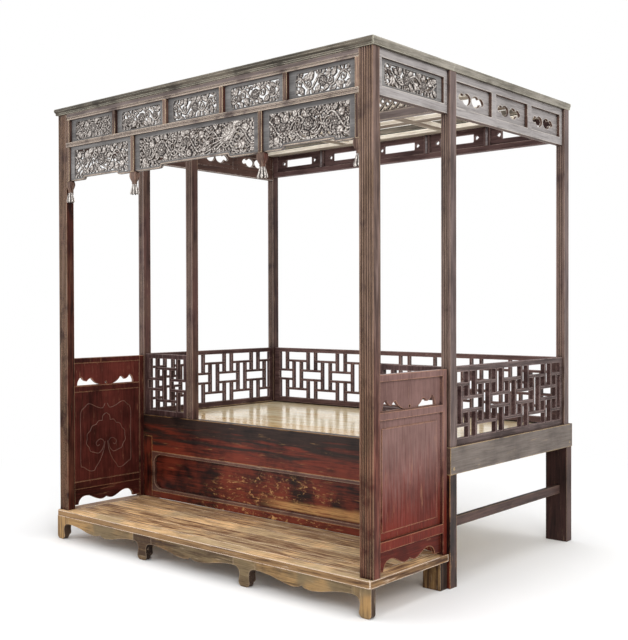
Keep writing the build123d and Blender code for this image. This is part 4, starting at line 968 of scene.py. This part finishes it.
def add_upper_panels():
    """Five small panels with a bloom in a scrolling vine."""
    boxes = panel_boxes("frieze_upper_panels")
    for number, (low, high) in enumerate(boxes):
        width, height, thickness = high[0] - low[0], high[2] - low[2], high[1] - low[1]
        field = cut_rect(SIDE_BORDER, LOW_BORDER, width - SIDE_BORDER, height - LOW_BORDER, CORNER_CUT)
        relief = field_relief(field, UPPER_SEED + number)
        blooms = [(0.5, 0.5, 0.27)]
        if number % 2:
            blooms += [(0.16, 0.45, 0.18), (0.84, 0.55, 0.18)]
        flower_panel(relief, 2.5, 0.1 + 0.5 * (number % 2), blooms)
        relief.fill(OPEN_GAP if number else SMALLEST_GAP)
        place = front_place(low[0] / 1000, low[2] / 1000, (low[1] + high[1]) / 2000)
        nodes = ["frieze_upper_panels"] if number == 0 else []
        carved_panel("frieze_upper_%d" % (number + 1), relief, whole(width, height), place, thickness, 0,
                     OPEN_THICKNESS, *nodes)


END_BLOOMS = ((0.5, 0.54, 0.24), (0.18, 0.55, 0.15), (0.82, 0.50, 0.15))
MIDDLE_BLOOMS = ((0.21, 0.50, 0.25), (0.42, 0.62, 0.14), (0.07, 0.44, 0.14))
BIRD_SIZE = 42.0
BIRD_TILT = 0.32


def add_lower_panels():
    """Three large panels: peonies at the ends, and a long-tailed bird among peonies in the middle."""
    boxes = panel_boxes("frieze_lower_panels")
    for number, ((low, high), rise) in enumerate(zip(boxes, RISES)):
        width, height, thickness = high[0] - low[0], high[2] - low[2], high[1] - low[1]
        end = SHOULDER_SHARE * width
        outline = arched(0, 0, width, height, end, rise)
        field = arched(SIDE_BORDER, LOW_BORDER, width - SIDE_BORDER, height - TOP_BORDER,
                       end - SIDE_BORDER - LOW_BORDER / 2, rise)
        relief = field_relief(field, LOWER_SEED + number)
        left, middle, right = [number == which for which in range(3)]
        if right:
            relief.wreath((0.5 * relief.width, 0.54 * relief.height), 0.42 * relief.height)
        if middle:
            flower_panel(relief, 4.5, 0.3, MIDDLE_BLOOMS)
            relief.bird((0.80 * relief.width, 0.58 * relief.height), BIRD_SIZE, BIRD_TILT)
        else:
            flower_panel(relief, 2.5, 0.3, END_BLOOMS)
        relief.fill(OPEN_GAP if left else SMALLEST_GAP)
        place = front_place(low[0] / 1000, low[2] / 1000, (low[1] + high[1]) / 2000)
        nodes = ["frieze_lower_panels"] if left else []
        carved = OPEN_THICKNESS if left else CARVING_THICKNESS
        carved_panel("frieze_lower_%d" % (number + 1), relief, outline, place, thickness, 0, carved, *nodes)
        for w, face in ((thickness / 2, "f"), (-thickness / 2, "b")):
            lip = rope([(u, v + LIP_RISE, w) for u, v in outline[:-2]], LIP, place)
            mesh = rope_mesh("lip%d%s" % (number, w > 0), [lip], 0)
            show("frieze_lower_lip_%d%s" % (number + 1, face), mesh, "frieze")


def is_alcove_board(low, high):
    """Whether a box is that of the thin, long board of the side frieze over the alcove."""
    return high[0] - low[0] < BOARD_THIN and high[1] - low[1] > BOARD_LONG


def add_side_panels():
    """The carved panel over each side of the alcove."""
    for word, side in (("left", -1), ("right", 1)):
        (low, high), = panel_boxes("side_frieze_" + word, is_alcove_board)
        width, height, thickness = high[1] - low[1], high[2] - low[2], high[0] - low[0]
        field = cut_rect(SIDE_BORDER, LOW_BORDER, width - SIDE_BORDER, height - LOW_BORDER, CORNER_CUT)
        relief = field_relief(field, SIDE_SEED)
        flower_panel(relief, 2.0, 0.1, [(0.42, 0.52, 0.30), (0.75, 0.5, 0.22)])
        relief.fill(OPEN_GAP)
        start = low[1] if side > 0 else high[1]
        place = side_place(start / 1000, low[2] / 1000, (low[0] + high[0]) / 2000, side)
        carved_panel("side_carving_" + word, relief, whole(width, height), place, thickness, 1,
                     OPEN_THICKNESS)


# ------------------------------------------------------------------ finials and beads
FINIAL_RINGS = 44
FINIAL_STRETCH = 28 / 18    # a finial is this much wider than deep
FINIAL_SIDES = 64
# Half width of a finial, as shares of its greatest, at shares of its height from the top down.
FINIAL_PROFILE = ((0.0, 0.90), (0.05, 1.0), (0.18, 0.98), (0.34, 0.74), (0.45, 0.50), (0.50, 0.60),
                  (0.53, 0.48), (0.62, 0.62), (0.78, 0.84), (0.90, 1.0), (0.96, 0.99), (1.0, 0.82))
WAIST = 0.53                # where the bell starts under the bud
HEM = 0.97                  # where the petals' ends start
PETALS = 8


def finial_mesh(name, low, high):
    """A four-sided bud with leaf edges over a bell of petals, in the box of its solid, in millimetres."""
    width, depth = [(high[i] - low[i]) / 2 for i in (0, 1)]
    middle_x, middle_y = [(high[i] + low[i]) / 2 for i in (0, 1)]
    full = max(width, depth * FINIAL_STRETCH)
    side = math.copysign(1, middle_x)
    inner_end, outer_end = sorted((abs(low[0]), abs(high[0])))
    middle_x = side * (inner_end + full)
    shares, reaches = zip(*FINIAL_PROFILE)
    points, heights = [], []
    for ring in range(FINIAL_RINGS + 1):
        t = ring / FINIAL_RINGS
        reach = float(np.interp(t, shares, reaches))
        for spoke in range(FINIAL_SIDES):
            turn = 2 * math.pi * spoke / FINIAL_SIDES
            c, s = math.cos(turn), math.sin(turn)
            square = (abs(c) ** 4 + abs(s) ** 4) ** -0.25
            petal = abs(math.sin(PETALS * turn / 2))
            crest = petal ** 0.7
            if t < WAIST:
                leaf = abs(math.sin(2 * turn)) ** 0.5 * math.sin(math.pi * t / WAIST)
                radial = square * (0.86 + 0.14 * leaf)
            else:
                flare = (t - WAIST) / (1 - WAIST)
                radial = (1 + 0.35 * (square - 1)) * (1 - 0.24 * (1 - crest) * min(1, 3 * flare))
            x = middle_x + full * reach * radial * c
            y = middle_y + depth * reach * radial * s
            scallop = 0.05 * (1 - petal) * (t > HEM)
            z = high[2] - (high[2] - low[2]) * (t - scallop)
            points.append((side * min(abs(x), outer_end) / 1000, y / 1000, z / 1000))
            heights.append(crest)
    faces, bell = [], []
    for ring in range(FINIAL_RINGS):
        for spoke in range(FINIAL_SIDES):
            a, b = ring * FINIAL_SIDES + spoke, ring * FINIAL_SIDES + (spoke + 1) % FINIAL_SIDES
            faces.append((a, a + FINIAL_SIDES, b + FINIAL_SIDES, b))
            bell.append(ring / FINIAL_RINGS > WAIST)
    faces.append(tuple(range(FINIAL_SIDES)))
    faces.append(tuple(range(FINIAL_RINGS * FINIAL_SIDES, (FINIAL_RINGS + 1) * FINIAL_SIDES))[::-1])
    mesh = bpy.data.meshes.new(name)
    mesh.from_pydata(points, [], faces)
    mesh.polygons.foreach_set("use_smooth", [True] * len(faces))
    mesh.polygons.foreach_set("material_index", bell + [False, True])
    # The petals' crests take the carving material's painted highlights on the bell.
    mesh.attributes.new("depth", "FLOAT", "POINT").data.foreach_set("value", heights)
    add_grain(mesh, 2, random.Random(name))
    return mesh


def add_finials():
    """The four carved drops under the front frieze."""
    for number, (low, high) in enumerate(panel_boxes("frieze_finials")):
        mesh = finial_mesh("frieze_finial_%d" % (number + 1), low, high)
        nodes = ["frieze_finials"] if number == 0 else []
        show(mesh.name, mesh, "mullion", *nodes)
        mesh.materials.append(MATERIALS["carving"])     # the bell's


BEAD_RADIUS = 1.9
BEAD_STEP = 4.0
LOBE = 0.22             # how far a lobe of the sceptre's head stands out, as a share of its width
# Half of each outline carved on the inside of an alcove panel: distances from its middle line, and heights
# above the floor, in millimetres.  The head's are the cusps between its lobes, from its tip down.
CARTOUCHE = ((7, 705), (25, 681), (60, 688), (113, 710), (144, 692), (170, 659), (170, 520), (170, 383),
             (152, 365), (113, 341), (82, 340), (69, 358), (42, 392), (20, 439), (8, 494))
HEAD = ((0, 652), (26, 611), (68, 592), (107, 560), (128, 518), (116, 470), (84, 440))
HEAD_CURL = ((84, 440), (51, 432), (25, 455), (16, 492), (40, 509), (68, 492), (60, 472), (46, 478))


def lobed(cusps):
    """A smooth line between each two cusps, bent outward."""
    path = []
    for (u0, v0), (u1, v1) in zip(cusps, cusps[1:]):
        bow = ((u0 + u1) / 2 + LOBE * (v0 - v1), (v0 + v1) / 2 + LOBE * (u1 - u0))
        path += [tuple(p) for p in smooth_path([(u0, v0), bow, (u1, v1)], BEAD_STEP)[:-1]]
    return path + [cusps[-1]]


def add_panel_beads():
    """The cartouche and the cloud-headed sceptre carved on the inside of both alcove panels."""
    outlines = (smooth_path(CARTOUCHE, BEAD_STEP), lobed(HEAD), smooth_path(HEAD_CURL, BEAD_STEP))
    for word, side in (("left", -1), ("right", 1)):
        low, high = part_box("side_panel_board_" + word)
        face = low[0] if side > 0 else high[0]
        middle = (low[1] + high[1]) / 2

        def place(u, v, w):
            return (face - side * w, middle + u, v)

        ropes = []
        for outline in outlines:
            for half in (-1, 1):
                ropes.append(rope([(half * u, v, 0.0) for u, v in outline], BEAD_RADIUS, place, sides=10))
        mesh = rope_mesh("side_panel_carving_" + word, ropes, 2)
        show(mesh.name, mesh, "carved_bead")


RAIL_BEAD = 7.2         # radius of the mouldings on the rear frieze
RAIL_LONG = 1500.0      # its rails are longer than this
MULLION_WIDE = 60.0     # and its mullions narrower than this


def add_rear_beads():
    """The half-round mouldings on the rear frieze's rails and mullions, with painted highlights on their
    edges.
    """
    boxes = panel_boxes("rear_frieze")
    front = min(low[1] for low, high in boxes)
    lowest = min(low[2] for low, high in boxes)
    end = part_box("bed_post_rear_right")[0][0] * 1000

    def place(u, v, w):
        return (u, front / 1000 - w, v)

    rails, mullions = [], []
    for low, high in boxes:
        if high[0] - low[0] > RAIL_LONG:
            level = high[2] - RAIL_BEAD if low[2] == lowest else (low[2] + high[2]) / 2
            rails.append([(u, level, 0.0) for u in (-end, 0.0, end)])
        if high[0] - low[0] < MULLION_WIDE:
            middle = (low[0] + high[0]) / 2
            mullions.append([(middle, v, 0.0) for v in (low[2], high[2])])
    ropes = [rope(path, RAIL_BEAD, place, sides=14) for path in rails + mullions]
    mesh = rope_mesh("rear_frieze_beads", ropes, 0)
    show(mesh.name, mesh, "lit_bead")


# ------------------------------------------------------------------ stage
WHITE = (1.0, 1.0, 1.0)
AMBIENT = 0.75              # strength of the world as a light
# Name, place, watts and size of each lamp.
LAMPS = (("key", (4.8, -3.8, 3.4), 140.0, 2.6), ("fill", (-3.6, -4.2, 2.4), 60.0, 3.0),
         ("top", (0.4, 0.2, 5.2), 150.0, 3.5))
AIM = Vector((0.0, 0.0, 1.0))


def add_world():
    """White wherever it is seen or mirrored, plainer as a light."""
    world = bpy.data.worlds.new("studio")
    bpy.context.scene.world = world
    graph = Graph(world)
    rays = graph.add("LightPath").outputs
    mirrored = graph.calc("MAXIMUM", rays["Is Glossy Ray"], rays["Is Transmission Ray"])
    seen = graph.calc("MAXIMUM", rays["Is Camera Ray"], mirrored)
    plain = graph.add("Background", Color=WHITE, Strength=AMBIENT).outputs[0]
    white = graph.add("Background", Color=WHITE, Strength=1.0).outputs[0]
    both = graph.add("MixShader", at0=seen, at1=plain, at2=white).outputs[0]
    graph.add("OutputWorld", Surface=both)


def add_lamps():
    """Large soft lamps, all aimed at the middle of the bed."""
    for name, place, watts, size in LAMPS:
        data = bpy.data.lights.new(name, "AREA")
        data.shape = "SQUARE"
        data.size = size
        data.energy = watts
        lamp = placed(name, data)
        lamp.location = place
        lamp.rotation_euler = (AIM - lamp.location).to_track_quat("-Z", "Y").to_euler()


FLOOR_REACH = 30.0
FLOOR_CLEAR = (1.9, 3.6)    # the floor turns to plain white between these distances from the middle


def add_floor():
    """A pale floor that keeps the bed's soft shadow and fades to white further out."""
    bm = bmesh.new()
    bmesh.ops.create_grid(bm, x_segments=8, y_segments=8, size=FLOOR_REACH)
    mesh = bpy.data.meshes.new("floor")
    bm.to_mesh(mesh)
    bm.free()
    floor = placed("floor", mesh)
    graph = Graph(bpy.data.materials.new("pale_floor"))
    place = graph.add("TexCoord").outputs["Object"]
    away = graph.add("VectorMath", {"operation": "LENGTH"}, at0=place).outputs["Value"]
    paint = graph.add("BsdfDiffuse", Color=(0.93, 0.93, 0.93)).outputs[0]
    glow = graph.add("Emission", Color=WHITE, Strength=1.0).outputs[0]
    both = graph.add("MixShader", at0=graph.band(away, *FLOOR_CLEAR), at1=paint, at2=glow)
    graph.add("OutputMaterial", Surface=both.outputs[0])
    mesh.materials.append(graph.owner)


CAMERA_PLACE = Vector((3.3561, -3.8567, 1.2288))
CAMERA_HEADING = math.radians(40.86)    # to the left of the +Y axis
CAMERA_PITCH = math.radians(-0.67)
CAMERA_ROLL = math.radians(-0.14)
CAMERA_LENS = 53.97                     # millimetres, on a 36 mm sensor


def add_camera():
    """The main view, from the front and the right at chest height."""
    data = bpy.data.cameras.new("camera")
    data.lens = CAMERA_LENS
    data.sensor_width = 36.0
    camera = placed("camera", data)
    forward = Vector((-math.sin(CAMERA_HEADING) * math.cos(CAMERA_PITCH),
                      math.cos(CAMERA_HEADING) * math.cos(CAMERA_PITCH), math.sin(CAMERA_PITCH)))
    right = forward.cross(Vector((0, 0, 1))).normalized()
    up = right.cross(forward)
    right, up = (right * math.cos(CAMERA_ROLL) + up * math.sin(CAMERA_ROLL),
                 up * math.cos(CAMERA_ROLL) - right * math.sin(CAMERA_ROLL))
    turn = Matrix((right, up, -forward)).transposed().to_4x4()
    camera.matrix_world = Matrix.Translation(CAMERA_PLACE) @ turn
    bpy.context.scene.camera = camera


# ------------------------------------------------------------------ assembly
for node_name in sorted(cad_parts):
    if node_name not in CARVED:
        add_timbers(node_name)
add_upper_panels()
add_lower_panels()
add_side_panels()
add_finials()
add_panel_beads()
add_rear_beads()
add_world()
add_lamps()
add_floor()
add_camera()
bpy.context.scene.view_settings.view_transform = "Standard"
